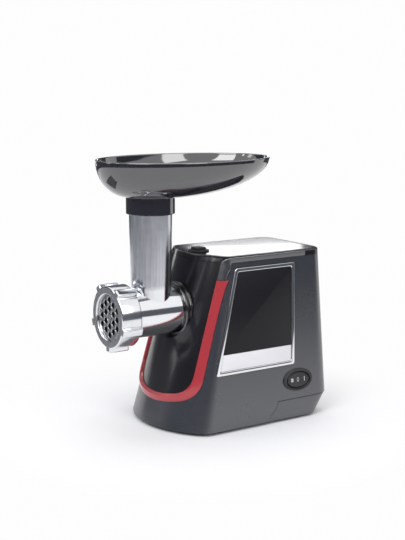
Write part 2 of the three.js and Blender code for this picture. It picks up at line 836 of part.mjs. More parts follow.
function makeSkirt() {
  const layer = (inset) =>
    solidOf(loft([bodyRing(footHeight, inset, skirtRear), bodyRing(skirtTop, inset, bodyRear)]));
  const hollow = (inset) => {
    const slope = (bodyRear - skirtRear) / (skirtTop - footHeight);
    const past = slope * overrun;
    return solidOf(
      loft([
        bodyRing(footHeight - overrun, inset, skirtRear - past),
        bodyRing(skirtTop + overrun, inset, bodyRear + past),
      ]),
    );
  };
  const wall = layer(skirtInset).subtract(hollow(skirtInset + bodyWall)).intersect(skirtRegion(0));
  const tabs = [-1, 1].map((way) => {
    const front = skirtRear - rearScrewGap - tabWidth / 2;
    const middle = way * (bodyBaseHalf - rearScrewInset);
    const from = [middle - tabWidth / 2, front, plateTop + seatGap];
    return solidOf(box(tabWidth, deep, footBlock, from)).intersect(layer(skirtInset));
  });
  piece("rear_skirt", cut(join(wall, ...tabs), ...screwHoles(2, 4)), charcoal);
}
function makeBase() {
  const rings = [footHeight, plateTop].map((z) => bodyRing(z, plateInset, skirtRear));
  const plate = solidOf(loft(rings));
  const holes = footPlaces.map(([, way, x, y]) => {
    const hole = upright(rod(footPlug + seatGap, -overrun, plateTop + overrun, coarseSides));
    return solidOf(hole.translate(way * x, y, 0));
  });
  const screwHoles = screwPlaces.map(([way, x, y]) => {
    const profile = [
      [0, -overrun],
      [screwHead + seatGap, -overrun],
      [screwHead + seatGap, footHeight + screwHeadHeight - seatGap],
      [screwShank + seatGap, footHeight + screwHeadHeight - seatGap],
      [screwShank + seatGap, plateTop + overrun],
      [0, plateTop + overrun],
    ];
    return solidOf(upright(turned(profile, coarseSides)).translate(way * x, y, 0));
  });
  const vents = Array.from({ length: ventCount }, (_, i) => {
    const from = [-ventLength / 2, ventFrom + i * ventPitch, footHeight - overrun];
    return solidOf(box(ventLength, ventWidth, basePlate + 2 * overrun, from));
  });
  const posts = [-1, 1].flatMap((x) =>
    [-1, 1].map((y) => {
      const post = upright(rod(boardPost, plateTop - basePlate / 2, plateTop + boardLift, coarseSides));
      const across = boardWidth / 2 - boardPost;
      const along = boardLength / 2 - boardPost;
      return solidOf(post.translate(x * across, boardY + y * along, 0));
    }),
  );
  piece("base_plate", cut(join(plate, ...posts), ...holes, ...screwHoles, ...vents), black);
  for (const [end, way, x, y] of footPlaces) {
    const profile = [
      [0, 0],
      [footRadius - footHeight / 4, 0],
      [footRadius, footHeight / 3],
      [footRadius, footHeight - seatGap],
      [footPlug, footHeight - seatGap],
      [footPlug, plateTop],
      [0, plateTop],
    ];
    const foot = solidOf(upright(turned(profile, coarseSides)));
    piece(`foot_${end}_${sideName(way)}`, foot, rubber).position.set(way * x, y, 0);
  }
  screwPlaces.forEach(([way, x, y], i) => {
    const head = footHeight + screwHeadHeight - 2 * seatGap;
    const screw = turned(
      [
        [0, head - screwHeadHeight],
        [screwHead, head - screwHeadHeight],
        [screwHead, head],
        [screwShank, head],
        [screwShank, head + screwLength],
        [0, head + screwLength],
      ],
      coarseSides,
    );
    const slotLength = 2 * screwHead * screwSlotShare;
    const slotWidth = screwShank * screwSlotShare;
    const slot = box(slotLength, slotWidth, screwHeadHeight, [
      -slotLength / 2,
      -slotWidth / 2,
      head - (3 * screwHeadHeight) / 2,
    ]);
    const name = `base_screw_${i < 2 ? "front" : "rear"}_${sideName(way)}`;
    piece(name, cut(solidOf(upright(screw)), solidOf(slot)), steel).position.set(way * x, y, 0);
  });
  const board = box(boardWidth, boardLength, boardThickness, [
    -boardWidth / 2,
    boardY - boardLength / 2,
    plateTop + boardLift + seatGap,
  ]);
  piece("control_board", solidOf(board), boardGreen);
}

// Cord inlet at the rear: a gland with its flange inside the wall
function inletHole(grow) {
  const hole = rod(inletRadius - inletStep + grow, bodyRear - deep / 4, bodyRear + overrun, middleSides);
  return solidOf(hole.translate(inletX, 0, inletZ));
}

function makeInlet() {
  const inner = bodyRear - bodyWall - seatGap;
  const gland = turned(
    [
      [inletBore, inner - inletStep],
      [inletRadius, inner - inletStep],
      [inletRadius, inner],
      [inletRadius - inletStep, inner],
      [inletRadius - inletStep, bodyRear],
      [inletBore, bodyRear],
    ],
    coarseSides,
  );
  piece("cord_gland", solidOf(gland), rubber).position.set(inletX, 0, inletZ);
}

// Release button in its guide, the spring under it and the rocking latch it pushes
const atButton = (geometry) => solidOf(geometry.translate(0, buttonY, 0));
const square = (x, y, low, high) => box(x, y, high - low, [-x / 2, -y / 2, low]);

function makeButton() {
  const block = square(buttonSize, buttonSize, buttonFoot, buttonTop);
  const flange = square(buttonSize + 2 * buttonFlange, buttonSize, buttonFoot, buttonFoot + buttonFlange);
  const stem = upright(rod(buttonStem, leverArmZ + seatGap, buttonFoot + buttonFlange / 2, coarseSides));
  piece("release_button", join(...[block, flange, stem].map(atButton)), black);
  const step = buttonFoot + buttonFlange + seatGap;
  const wide = buttonSize + 2 * buttonFlange + 2 * runGap;
  const narrow = buttonSize + 2 * runGap;
  const guide = upright(
    turned(
      [
        [0, guideBottom],
        [guideNeck, guideBottom],
        [guideNeck, bodyTop + seatGap],
        [guideRadius, bodyTop + seatGap],
        [guideRadius, guideTop],
        [0, guideTop],
      ],
      middleSides,
    ),
  );
  const hollows = [
    square(wide, narrow, guideFloorTop, step),
    square(narrow, narrow, guideFloorTop, guideTop + overrun),
    upright(rod(buttonStem + runGap, guideBottom - overrun, guideTop, coarseSides)),
  ];
  piece("button_guide", cut(atButton(guide), ...hollows.map(atButton)), black);
}

function makeSpring() {
  const count = springTurns * springSteps;
  const low = guideFloorTop + seatGap + springWire;
  const high = buttonFoot - seatGap - springWire;
  const rings = [];
  for (let i = 0; i <= count; i += 1) {
    const angle = (i / springSteps) * 2 * Math.PI;
    const height = THREE.MathUtils.lerp(low, high, i / count);
    const ring = Array.from({ length: springSides }, (_, k) => {
      const around = (k / springSides) * 2 * Math.PI;
      const radius = springRadius + springWire * Math.cos(around);
      const z = height + springWire * Math.sin(around);
      return new THREE.Vector3(radius * Math.cos(angle), radius * Math.sin(angle) + buttonY, z);
    });
    rings.push(ring);
  }
  const coilGap = (high - low) / springTurns - 2 * springWire;
  console.log(`button spring: least gap between its turns ${coilGap.toFixed(2)} mm`);
  piece("button_spring", solidOf(loft(rings)), steel);
}

function makeLatch() {
  const noseZ = barrelZ + hubRadius - leverNoseDepth;
  const front = leverNoseY - leverNoseThickness / 2;
  const rear = leverNoseY + leverNoseThickness / 2;
  const end = leverPivotY + leverArmReach;
  const arm = outline([
    [front, noseZ],
    [rear, noseZ],
    [rear, leverPivotZ - leverBoss],
    [leverPivotY + leverBoss / 2, leverPivotZ - leverBoss],
    [end, leverArmZ - leverArmThickness],
    [end, leverArmZ],
    [buttonY - buttonStem + seatGap, leverArmZ],
    [leverPivotY + leverBoss / 2, leverPivotZ + leverBoss],
    [front, leverPivotZ + leverBoss],
  ]);
  const reach = leverWidth / 2 + seatGap + earThickness;
  const pin = rod(leverPin, -reach, reach, coarseSides).rotateZ(Math.PI / 2);
  pin.translate(0, leverPivotY, leverPivotZ);
  piece("latch_lever", join(solidOf(slabAlongX(arm, leverWidth)), solidOf(pin)), darkSteel);
}

// Grinding head, drawn round the barrel's axis
const head = new THREE.Group();
head.position.z = barrelZ;
grinder.add(head);

function makeHead() {
  const outside = turned([
    [0, mouthFront],
    [mouthRadius, mouthFront],
    [mouthRadius, mouthRear],
    [boreRadius + barrelWall, mouthRear + barrelWall],
    [boreRadius + barrelWall, shoulderRear],
    [hubRadius, shoulderRear],
    [hubRadius, hubRear],
    [0, hubRear],
  ]);
  const topZ = tubeTop - barrelZ;
  const feed = upright(turned([[0, 0], [tubeFootRadius, 0], [tubeTopRadius, topZ], [0, topZ]], fineSides));
  const inside = turned(
    [
      [0, mouthFront - overrun],
      [seatRadius, mouthFront - overrun],
      [seatRadius, plateRear + seatGap],
      [knifeRadius + runGap, plateRear + seatGap],
      [knifeRadius + runGap, augerFront],
      [boreRadius, augerFront + barrelWall],
      [boreRadius, barrelRear - backWall],
      [augerShaft + seatGap, barrelRear - backWall],
      [augerShaft + seatGap, barrelRear + barrelWall],
      [hubBore, barrelRear + barrelWall],
      [hubBore, hubRear + overrun],
      [0, hubRear + overrun],
    ],
  );
  const feedBore = upright(rod(tubeBore, 0, topZ + overrun, fineSides));
  const rearPart = box(2 * deep, deep, tubeShelf + overrun, [-deep, barrelRear - backWall, -overrun]);
  const spare = Math.asin((leverWidth / 2 + runGap) / (hubRadius - grooveDepth));
  const edges = [-spare, headTurn / 2, headTurn + spare];
  const sector = outline([[0, 0], ...edges.map((angle) => [deep * Math.sin(angle), deep * Math.cos(angle)])]);
  const groove = tube(hubRadius + overrun, hubRadius - grooveDepth, grooveFront, grooveRear);
  const key = box(plateKeyWidth, plateRear - mouthFront, plateKey, [
    -plateKeyWidth / 2,
    mouthFront,
    seatRadius - plateKey + seatGap,
  ]);
  const body = cut(
    join(solidOf(outside), solidOf(feed)),
    solidOf(inside),
    cut(solidOf(feedBore), solidOf(rearPart)),
    solidOf(groove).intersect(solidOf(slabAlongY(sector, 0, hubRear))),
  );
  piece("head_casting", join(body, solidOf(key)), aluminium, head);
}

function makeAuger() {
  const core = turned([
    [0, knifeFront - plateThickness],
    [studRadius, knifeFront - plateThickness],
    [studRadius, augerFront],
    [augerCoreFront, augerFront],
    [augerCoreRear, augerRear],
    [augerShaft, augerRear],
    [augerShaft, barrelRear + barrelWall],
    [0, barrelRear + barrelWall],
  ], middleSides);
  const neck = box(squareSize, augerFront - knifeFront + overrun, squareSize, [
    -squareSize / 2,
    knifeFront,
    -squareSize / 2,
  ]);
  const shank = turned([
    [0, barrelRear],
    [shankAcross / Math.sqrt(3), barrelRear],
    [shankAcross / Math.sqrt(3), shankEnd],
    [0, shankEnd],
  ], hexSides);
  const steps = Math.round(augerTurns * flightSides);
  const rings = [];
  for (let i = 0; i <= steps; i += 1) {
    const angle = (i / steps) * augerTurns * 2 * Math.PI;
    const y = THREE.MathUtils.lerp(augerFront, augerRear - flightThickness, i / steps);
    const [c, s] = [Math.cos(angle), Math.sin(angle)];
    const corner = (r, dy) => new THREE.Vector3(r * c, y + dy, r * s);
    const root = augerCoreFront - flightThickness;
    const tip = flightThickness / 4;
    rings.push([
      corner(root, 0),
      corner(augerRadius, tip),
      corner(augerRadius, flightThickness - tip),
      corner(root, flightThickness),
    ]);
  }
  const flight = solidOf(loft(rings));
  piece("auger", join(solidOf(core), solidOf(neck), solidOf(shank), flight), aluminium, head);
  const washerRear = barrelRear - backWall - seatGap;
  const washer = tube(augerCoreRear, augerShaft + seatGap, augerRear + seatGap, washerRear, middleSides);
  piece("auger_washer", solidOf(washer), nylon, head);
}

function makeKnife() {
  const hub = rod(knifeHub, knifeFront, knifeFront + knifeThickness, middleSides);
  const [frontEdge, frontDrop, rearEdge, rearRise] = knifeEdgeShares;
  const blades = [0, 1, 2, 3].map((k) => {
    const blade = outline([
      [0, -knifeBlade / 2],
      [knifeRadius * frontEdge, -knifeBlade * frontDrop],
      [knifeRadius - seatGap, 0],
      [knifeRadius * rearEdge, knifeBlade * rearRise],
      [0, knifeBlade / 2],
    ]);
    const flat = slabAlongY(blade, knifeFront, knifeFront + knifeBladeDepth);
    return solidOf(flat.rotateY((k * Math.PI) / 2));
  });
  const hole = squareSize + 2 * seatGap;
  const square = box(hole, deep, hole, [-hole / 2, -deep / 2, -hole / 2]);
  piece("knife", cut(join(solidOf(hub), ...blades), solidOf(square)), steel, head);
}

function makePlate() {
  const front = plateRear - plateThickness;
  const disc = solidOf(rod(plateRadius, front, plateRear, fineSides));
  const rowStep = (platePitch * Math.sqrt(3)) / 2;
  const holes = [];
  for (let row = -plateRows; row <= plateRows; row += 1) {
    const inRow = 2 * plateRows + 1 - Math.abs(row);
    for (let k = 0; k < inRow; k += 1) {
      const z = (k - (inRow - 1) / 2) * platePitch;
      if (row === 0 && z === 0) continue;
      const hole = rod(plateHole, front - overrun, plateRear + overrun, holeSides);
      holes.push(solidOf(hole.translate(row * rowStep, 0, z)));
    }
  }
  const bearing = rod(plateBearing, front - overrun, plateRear + overrun, middleSides);
  const notch = box(plateKeyWidth + 2 * seatGap, deep, overrun, [
    -plateKeyWidth / 2 - seatGap,
    -deep / 2,
    plateRadius - plateKey,
  ]);
  piece("grinding_plate", cut(disc, ...holes, solidOf(bearing), solidOf(notch)), steel, head);
}

function makeRingNut() {
  const inner = mouthRadius + threadGap;
  const back = ringFront + ringLength;
  const skirt = turned([
    [ringOpening, ringFront + ringChamfer],
    [ringOpening + ringChamfer, ringFront],
    [ringRadius - ringChamfer, ringFront],
    [ringRadius, ringFront + ringChamfer],
    [ringRadius, back],
    [inner, back],
    [inner, ringFront + ringLip],
    [ringOpening, ringFront + ringLip],
  ]);
  const lugs = Array.from({ length: ringLugs }, (_, k) => {
    const angle = (k / ringLugs) * 2 * Math.PI;
    const lug = box(ringRadius + lugReach - inner - runGap, ringLength, lugWidth, [
      inner + runGap,
      ringFront,
      -lugWidth / 2,
    ]);
    return solidOf(lug.rotateY(angle + lugPhase));
  });
  const rim = solidOf(rod(ringRadius + lugReach, ringFront - overrun, back + overrun, 2 * fineSides));
  piece("ring_nut", join(solidOf(skirt), ...lugs).intersect(rim), aluminium, head);
}

// Tray: a sleeve over the feed tube that opens into a long oval bowl
function ellipse(a, b, z, centre) {
  return Array.from({ length: fineSides }, (_, i) => {
    const angle = (i / fineSides) * 2 * Math.PI;
    return new THREE.Vector3(a * Math.cos(angle), centre + b * Math.sin(angle), z);
  });
}

function makeTray() {
  const seat = tubeTopRadius + seatGap;
  const ledge = tubeTop + seatGap;
  const bowl = (share, wall) => {
    const rise = 1 - Math.sqrt(1 - share ** 2);
    return ellipse(
      THREE.MathUtils.lerp(trayNeck, trayWidth / 2, share) - wall,
      THREE.MathUtils.lerp(trayNeck, trayLength / 2, share) - wall,
      trayFloor + wall + (trayRim - trayFloor - wall) * rise,
      trayCentre * share,
    );
  };
  const rings = [
    ellipse(collarRadius, collarRadius, collarBottom, 0),
    ellipse(collarRadius, collarRadius, trayFloor, 0),
    ...bowlShares.map((share) => bowl(share, 0)),
    ...bowlShares.toReversed().map((share) => bowl(share, trayWall)),
    ellipse(tubeBore, tubeBore, trayFloor + trayWall, 0),
    ellipse(tubeBore, tubeBore, ledge, 0),
    ellipse(seat, seat, ledge, 0),
    ellipse(seat, seat, collarBottom, 0),
  ];
  piece("tray", solidOf(loop(rings)), glossBlack);
}

// Gear train
function gearShape(teeth, module, phase) {
  const pitch = (teeth * module) / 2;
  const base = pitch * Math.cos(pressureAngle);
  const involute = (r) => {
    const angle = Math.acos(Math.min(base / r, 1));
    return Math.tan(angle) - angle;
  };
  const half = Math.PI / (2 * teeth) - backlash / (4 * pitch);
  const width = (r) => half + involute(pitch) - involute(Math.max(r, base));
  const flankShares = teeth > manyTeeth ? [-dedendumShare, addendumShare] : [-dedendumShare, 0, addendumShare];
  const radii = flankShares.map((share) => pitch + share * module);
  const points = [];
  for (let k = 0; k < teeth; k += 1) {
    const middle = phase + (k * 2 * Math.PI) / teeth;
    for (const r of radii) points.push([r, middle - width(r)]);
    for (const r of radii.toReversed()) points.push([r, middle + width(r)]);
  }
  return outline(points.map(([r, angle]) => [r * Math.cos(angle), r * Math.sin(angle)]));
}

function toothRing(teeth, module, phase, from, to) {
  return solidOf(slabAlongY(gearShape(teeth, module, phase), from, to));
}

// The driver has a tooth on the line of centres and the driven gear has a gap there
function phases(stage, driverAxis, drivenAxis) {
  const line = drivenAxis.clone().sub(driverAxis).angle();
  return [line, line + Math.PI + Math.PI / stage.driven];
}

function makeGears() {
  const [, firstPhase] = phases(firstStage, motorAxis, firstAxis);
  const [middlePinionPhase, middlePhase] = phases(middleStage, firstAxis, secondAxis);
  const [outputPinionPhase, outputPhase] = phases(outputStage, secondAxis, outputAxis);
  const put = (name, solid, look, axis) => piece(name, solid, look).position.set(axis.x, 0, axis.y);
  const pinHole = solidOf(rod(gearPinRadius + seatGap, -deep, deep, middleSides));
  const outputBore = solidOf(rod(outputShaft + seatGap, -deep, deep, middleSides));

  const { driven: g1, module: m1 } = firstStage;
  const { driver: n2, driven: g2, module: m2 } = middleStage;
  const { driver: n3, driven: g3, module: m3 } = outputStage;
  const first = join(
    toothRing(g1, m1, firstPhase, firstFrom, firstTo),
    toothRing(n2, m2, middlePinionPhase, middleFrom, middleTo + layerGap / 2),
    solidOf(rod(gearHub, middleTo + layerGap / 4, firstTo, middleSides)),
  );
  put("gear_first", first.subtract(pinHole), nylon, firstAxis);
  const middle = join(
    toothRing(g2, m2, middlePhase, middleFrom, middleTo),
    toothRing(n3, m3, outputPinionPhase, outputFrom, outputTo + layerGap / 2),
    solidOf(rod(gearHub, outputTo + layerGap / 4, firstTo, middleSides)),
  );
  put("gear_middle", middle.subtract(pinHole), nylon, secondAxis);
  const output = toothRing(g3, m3, outputPhase, outputFrom, outputTo);
  put("gear_output", output.subtract(outputBore), nylon, outputAxis);

  const coupling = turned([
    [0, couplingFront],
    [couplingRadius, couplingFront],
    [couplingRadius, outputFrom - seatGap],
    [outputShaft, outputFrom - seatGap],
    [outputShaft, gearboxBack - seatGap],
    [0, gearboxBack - seatGap],
  ]);
  const hexRadius = (shankAcross + 2 * seatGap) / Math.sqrt(3);
  const hex = turned([
    [0, couplingFront - overrun],
    [hexRadius, couplingFront - overrun],
    [hexRadius, shankEnd + seatGap],
    [0, shankEnd + seatGap],
  ], hexSides);
  put("output_coupling", solidOf(coupling).subtract(solidOf(hex)), steel, outputAxis);

  const pinFrom = gearboxFront + gearboxWall / 2;
  const pinTo = gearboxBack - seatGap;
  const pin = (from) => solidOf(rod(gearPinRadius, from, pinTo, coarseSides));
  put("gear_pin_first", pin(middleFrom - layerGap), steel, firstAxis);
  put("gear_pin_middle", pin(pinFrom), steel, secondAxis);
}

// Gear case: a cup round the gears with a boss for the output bush, closed by a plate
function caseRods(grow, from, to) {
  const rods = caseRooms.map(([axis, radius]) =>
    solidOf(rod(radius + grow, from, to, middleSides).translate(axis.x, 0, axis.y)),
  );
  return join(...rods);
}

function makeGearbox() {
  const bushOuter = couplingRadius + runGap / 2 + bushWall;
  const bossOuter = bushOuter + seatGap + gearboxWall;
  const boss = alongBarrel(rod(bossOuter, socketBack + seatGap, gearboxFront + gearboxWall / 2));
  const bossBore = alongBarrel(rod(bushOuter + seatGap, socketBack, gearboxFront, fineSides));
  const through = alongBarrel(rod(couplingRadius + runGap, socketBack, outputFrom));
  const pinSeat = rod(gearPinRadius + seatGap, gearboxFront + gearboxWall / 4, outputFrom, coarseSides);
  pinSeat.translate(secondAxis.x, 0, secondAxis.y);
  const cup = caseRods(gearboxWall, gearboxFront, caseBack);
  const room = caseRods(0, gearboxFront + gearboxWall, caseBack + overrun);
  const pinPost = rod(gearHub, gearboxFront + gearboxWall / 2, middleFrom - layerGap / 2, middleSides);
  const postHole = rod(gearPinRadius + seatGap, outputFrom, middleFrom, coarseSides);
  const firstAt = (geometry) => solidOf(geometry.translate(firstAxis.x, 0, firstAxis.y));
  const shape = cut(cup, room);
  const posted = cut(join(shape, firstAt(pinPost)), firstAt(postHole));
  piece("gear_case", cut(join(posted, boss), bossBore, through, solidOf(pinSeat)), darkSteel);
  const bush = tube(bushOuter, couplingRadius + runGap / 2, socketBack + seatGap, gearboxFront - seatGap);
  piece("output_bush", solidOf(bush), nylon).position.z = barrelZ;

  const lid = caseRods(gearboxWall, caseBack + seatGap, gearboxBack);
  const legHeight = motorAxis.y - plateTop - seatGap;
  const legFrom = [-gearLegHalf, caseBack + seatGap, plateTop + seatGap];
  const leg = box(2 * gearLegHalf, gearboxWall, legHeight, legFrom);
  const foot = box(2 * gearLegHalf, footFlange, footBlock, [-gearLegHalf, gearboxBack, plateTop + seatGap]);
  const mount = box(2 * boltX + 2 * boltPad, gearboxWall, 2 * boltPad, [
    -boltX - boltPad,
    caseBack + seatGap,
    motorAxis.y - boltPad,
  ]);
  const footJoin = box(2 * gearLegHalf, gearboxWall, footBlock, [
    -gearLegHalf,
    gearboxBack - gearboxWall / 2,
    plateTop + seatGap,
  ]);
  const holes = [
    ...[firstAxis, secondAxis].map((axis) => [gearPinRadius + seatGap, axis.x, axis.y]),
    [outputShaft + seatGap, outputAxis.x, outputAxis.y],
    [bearingRadius + seatGap, motorAxis.x, motorAxis.y],
    [boltRadius + seatGap, boltX, motorAxis.y],
    [boltRadius + seatGap, -boltX, motorAxis.y],
  ].map(([r, x, z]) => {
    const hole = rod(r, caseBack - overrun, gearboxBack + footFlange + overrun, middleSides);
    return solidOf(hole.translate(x, 0, z));
  });
  const plate = join(lid, solidOf(leg), solidOf(foot), solidOf(footJoin), solidOf(mount));
  piece("gear_plate", cut(plate, ...holes, ...screwHoles(0, 2)), darkSteel);
}

function screwHoles(from, to) {
  return screwPlaces.slice(from, to).map(([way, x, y]) => {
    const hole = upright(rod(screwShank + seatGap, 0, plateTop + screwLength + seatGap, coarseSides));
    return solidOf(hole.translate(way * x, y, 0));
  });
}

// Motor: stator with two field coils, armature with its shaft, fan, bearings and brushes
function atMotor(name, solid, look) {
  piece(name, solid, look).position.set(motorAxis.x, 0, motorAxis.y);
}

function makeStator() {
  const inX = statorWidth / 2;
  const inZ = statorHeight / 2;
  const block = rounded([[-inX, -inZ], [inX, -inZ], [inX, inZ], [-inX, inZ]], 0, statorCorner);
  const body = solidOf(slabAlongY(block, statorFrom, statorTo, 3));
  const bore = solidOf(rod(statorBore, statorFrom - overrun, statorTo + overrun, fineSides));
  const long = statorLength + 2 * overrun;
  const windows = [-1, 1].flatMap((x) =>
    [-1, 1].map((z) => {
      const width = coilThickness + 2 * runGap;
      const height = coilWidth + 2 * runGap;
      const midX = x * (coilX + coilThickness / 2);
      const midZ = z * (coilInner + coilWidth / 2);
      return solidOf(box(width, long, height, [midX - width / 2, statorFrom - overrun, midZ - height / 2]));
    }),
  );
  const bolts = [-boltX, boltX].map((x) => {
    const hole = rod(boltRadius + seatGap, 0, deep, coarseSides);
    return solidOf(hole.translate(x, 0, 0));
  });
  atMotor("motor_stator", cut(body, bore, ...windows, ...bolts), darkSteel);
  for (const way of [-1, 1]) {
    const outer = coilInner + coilWidth;
    const from = way > 0 ? coilX : -coilX - coilThickness;
    const ring = (half, reach) =>
      box(coilThickness, statorLength + 2 * reach, 2 * half, [from, statorFrom - reach, -half]);
    const inside = box(coilThickness + 2 * overrun, statorLength + 2 * runGap, 2 * coilInner, [
      from - overrun,
      statorFrom - runGap,
      -coilInner,
    ]);
    atMotor(`field_coil_${sideName(way)}`, solidOf(ring(outer, coilReach)).subtract(solidOf(inside)), copper);
    const bolt = rod(boltRadius, caseBack + 2 * seatGap, bracketBack, coarseSides);
    const name = `motor_bolt_${sideName(way)}`;
    piece(name, solidOf(bolt), steel).position.set(way * boltX, 0, motorAxis.y);
  }
}

function makeArmature() {
  const bore = solidOf(rod(motorShaft + seatGap, -deep, deep, coarseSides));
  const core = turned([
    [0, statorFrom - coilReach],
    [armatureEnd, statorFrom - coilReach],
    [armatureEnd, statorFrom],
    [statorBore - armatureGap, statorFrom],
    [statorBore - armatureGap, statorTo],
    [armatureEnd, statorTo],
    [armatureEnd, statorTo + coilReach],
    [0, statorTo + coilReach],
  ], middleSides);
  const shaft = rod(motorShaft, firstTo - seatGap, bracketBack + seatGap, coarseSides);
  const commutator = rod(commutatorRadius, commutatorFrom, commutatorTo, middleSides);
  const [pinionPhase] = phases(firstStage, motorAxis, firstAxis);
  const pinion = toothRing(firstStage.driver, firstStage.module, pinionPhase, firstFrom, firstTo);
  atMotor("armature", join(...[core, shaft, commutator].map(solidOf), pinion), copper);
  const plate = rod(fanRadius, fanFrom, fanFrom + fanPlate, middleSides);
  const hub = rod(fanHub, fanFrom, fanTo, middleSides);
  const blades = Array.from({ length: fanBlades }, (_, k) => {
    const blade = box(fanRadius - motorShaft, fanLength + fanPlate / 2, fanPlate, [
      motorShaft,
      fanFrom + fanPlate / 2,
      -fanPlate / 2,
    ]);
    return solidOf(blade.rotateY((k * 2 * Math.PI) / fanBlades));
  });
  const limit = solidOf(rod(fanRadius, fanFrom, fanTo, fineSides));
  atMotor("motor_fan", cut(join(solidOf(plate), solidOf(hub), ...blades).intersect(limit), bore), black);
}

function makeBrushes() {
  const bearing = (y) => {
    return solidOf(tube(bearingRadius, motorShaft + seatGap, y, y + bearingLength, middleSides));
  };
  atMotor("bearing_front", bearing(gearboxBack - gearboxWall), steel);
  atMotor("bearing_rear", bearing(bracketBack - bearingLength), steel);
  const plate = rod(bearingRadius + bracketRim, bracketFront, bracketBack, middleSides);
  const arms = box(2 * (boltX + boltPad), bracketThickness, 2 * boltPad, [
    -boltX - boltPad,
    bracketFront,
    -boltPad,
  ]);
  const holes = [[bearingRadius + seatGap, 0], [boltRadius + seatGap, boltX], [boltRadius + seatGap, -boltX]];
  const bores = holes.map(([r, x]) => {
    return solidOf(rod(r, bracketFront - overrun, deep, middleSides).translate(x, 0, 0));
  });
  atMotor("motor_bracket", cut(join(solidOf(plate), solidOf(arms)), ...bores), darkSteel);
  for (const way of [-1, 1]) {
    const start = commutatorRadius + seatGap;
    const brush = box(brushLength, brushSize, brushSize, [
      way > 0 ? start : -start - brushLength,
      brushY - brushSize / 2,
      -brushSize / 2,
    ]);
    atMotor(`brush_${sideName(way)}`, solidOf(brush), carbon);
    const outer = brushSize + 2 * brushWall + 2 * seatGap;
    const begin = start + brushWall;
    const holderBack = bracketFront - seatGap;
    const holder = box(brushLength, holderBack - brushY + outer / 2, outer, [
      way > 0 ? begin : -begin - brushLength,
      brushY - outer / 2,
      -outer / 2,
    ]);
    const channel = box(deep, brushSize + 2 * seatGap, brushSize + 2 * seatGap, [
      -deep / 2,
      brushY - brushSize / 2 - seatGap,
      -brushSize / 2 - seatGap,
    ]);
    atMotor(`brush_holder_${sideName(way)}`, solidOf(holder).subtract(solidOf(channel)), nylon);
  }
}

makeShell();
makeSkirt();
makeFrontCover();
makeBand();
makeRims();
makeLid();
makeLabel();
makeSwitch();
makeInlet();
makeBase();
makeSocket();
makeButton();
makeSpring();
makeLatch();
makeHead();
makeAuger();
makeKnife();
makePlate();
makeRingNut();
makeTray();
makeGears();
makeGearbox();
makeStator();
makeArmature();
makeBrushes();

// The origin goes to the centre of the footprint, on the floor
grinder.updateMatrixWorld(true);
const bounds = new THREE.Box3().setFromObject(grinder, true);
const middle = bounds.getCenter(new THREE.Vector3());
grinder.position.set(-middle.x, -middle.y, -bounds.min.z);

export default grinder;
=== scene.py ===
# %% [markdown]
# # Electric meat grinder
#
# The grinder's pieces come from a CAD frame that is loaded first. This notebook dresses that frame:
# it lights it as a product photograph, gives every piece a finish that is built from shader nodes,
# and models the visible pieces again with rounder forms than the faceted frame has.

from math import asin, atan2, cos, pi, radians, sin, sqrt

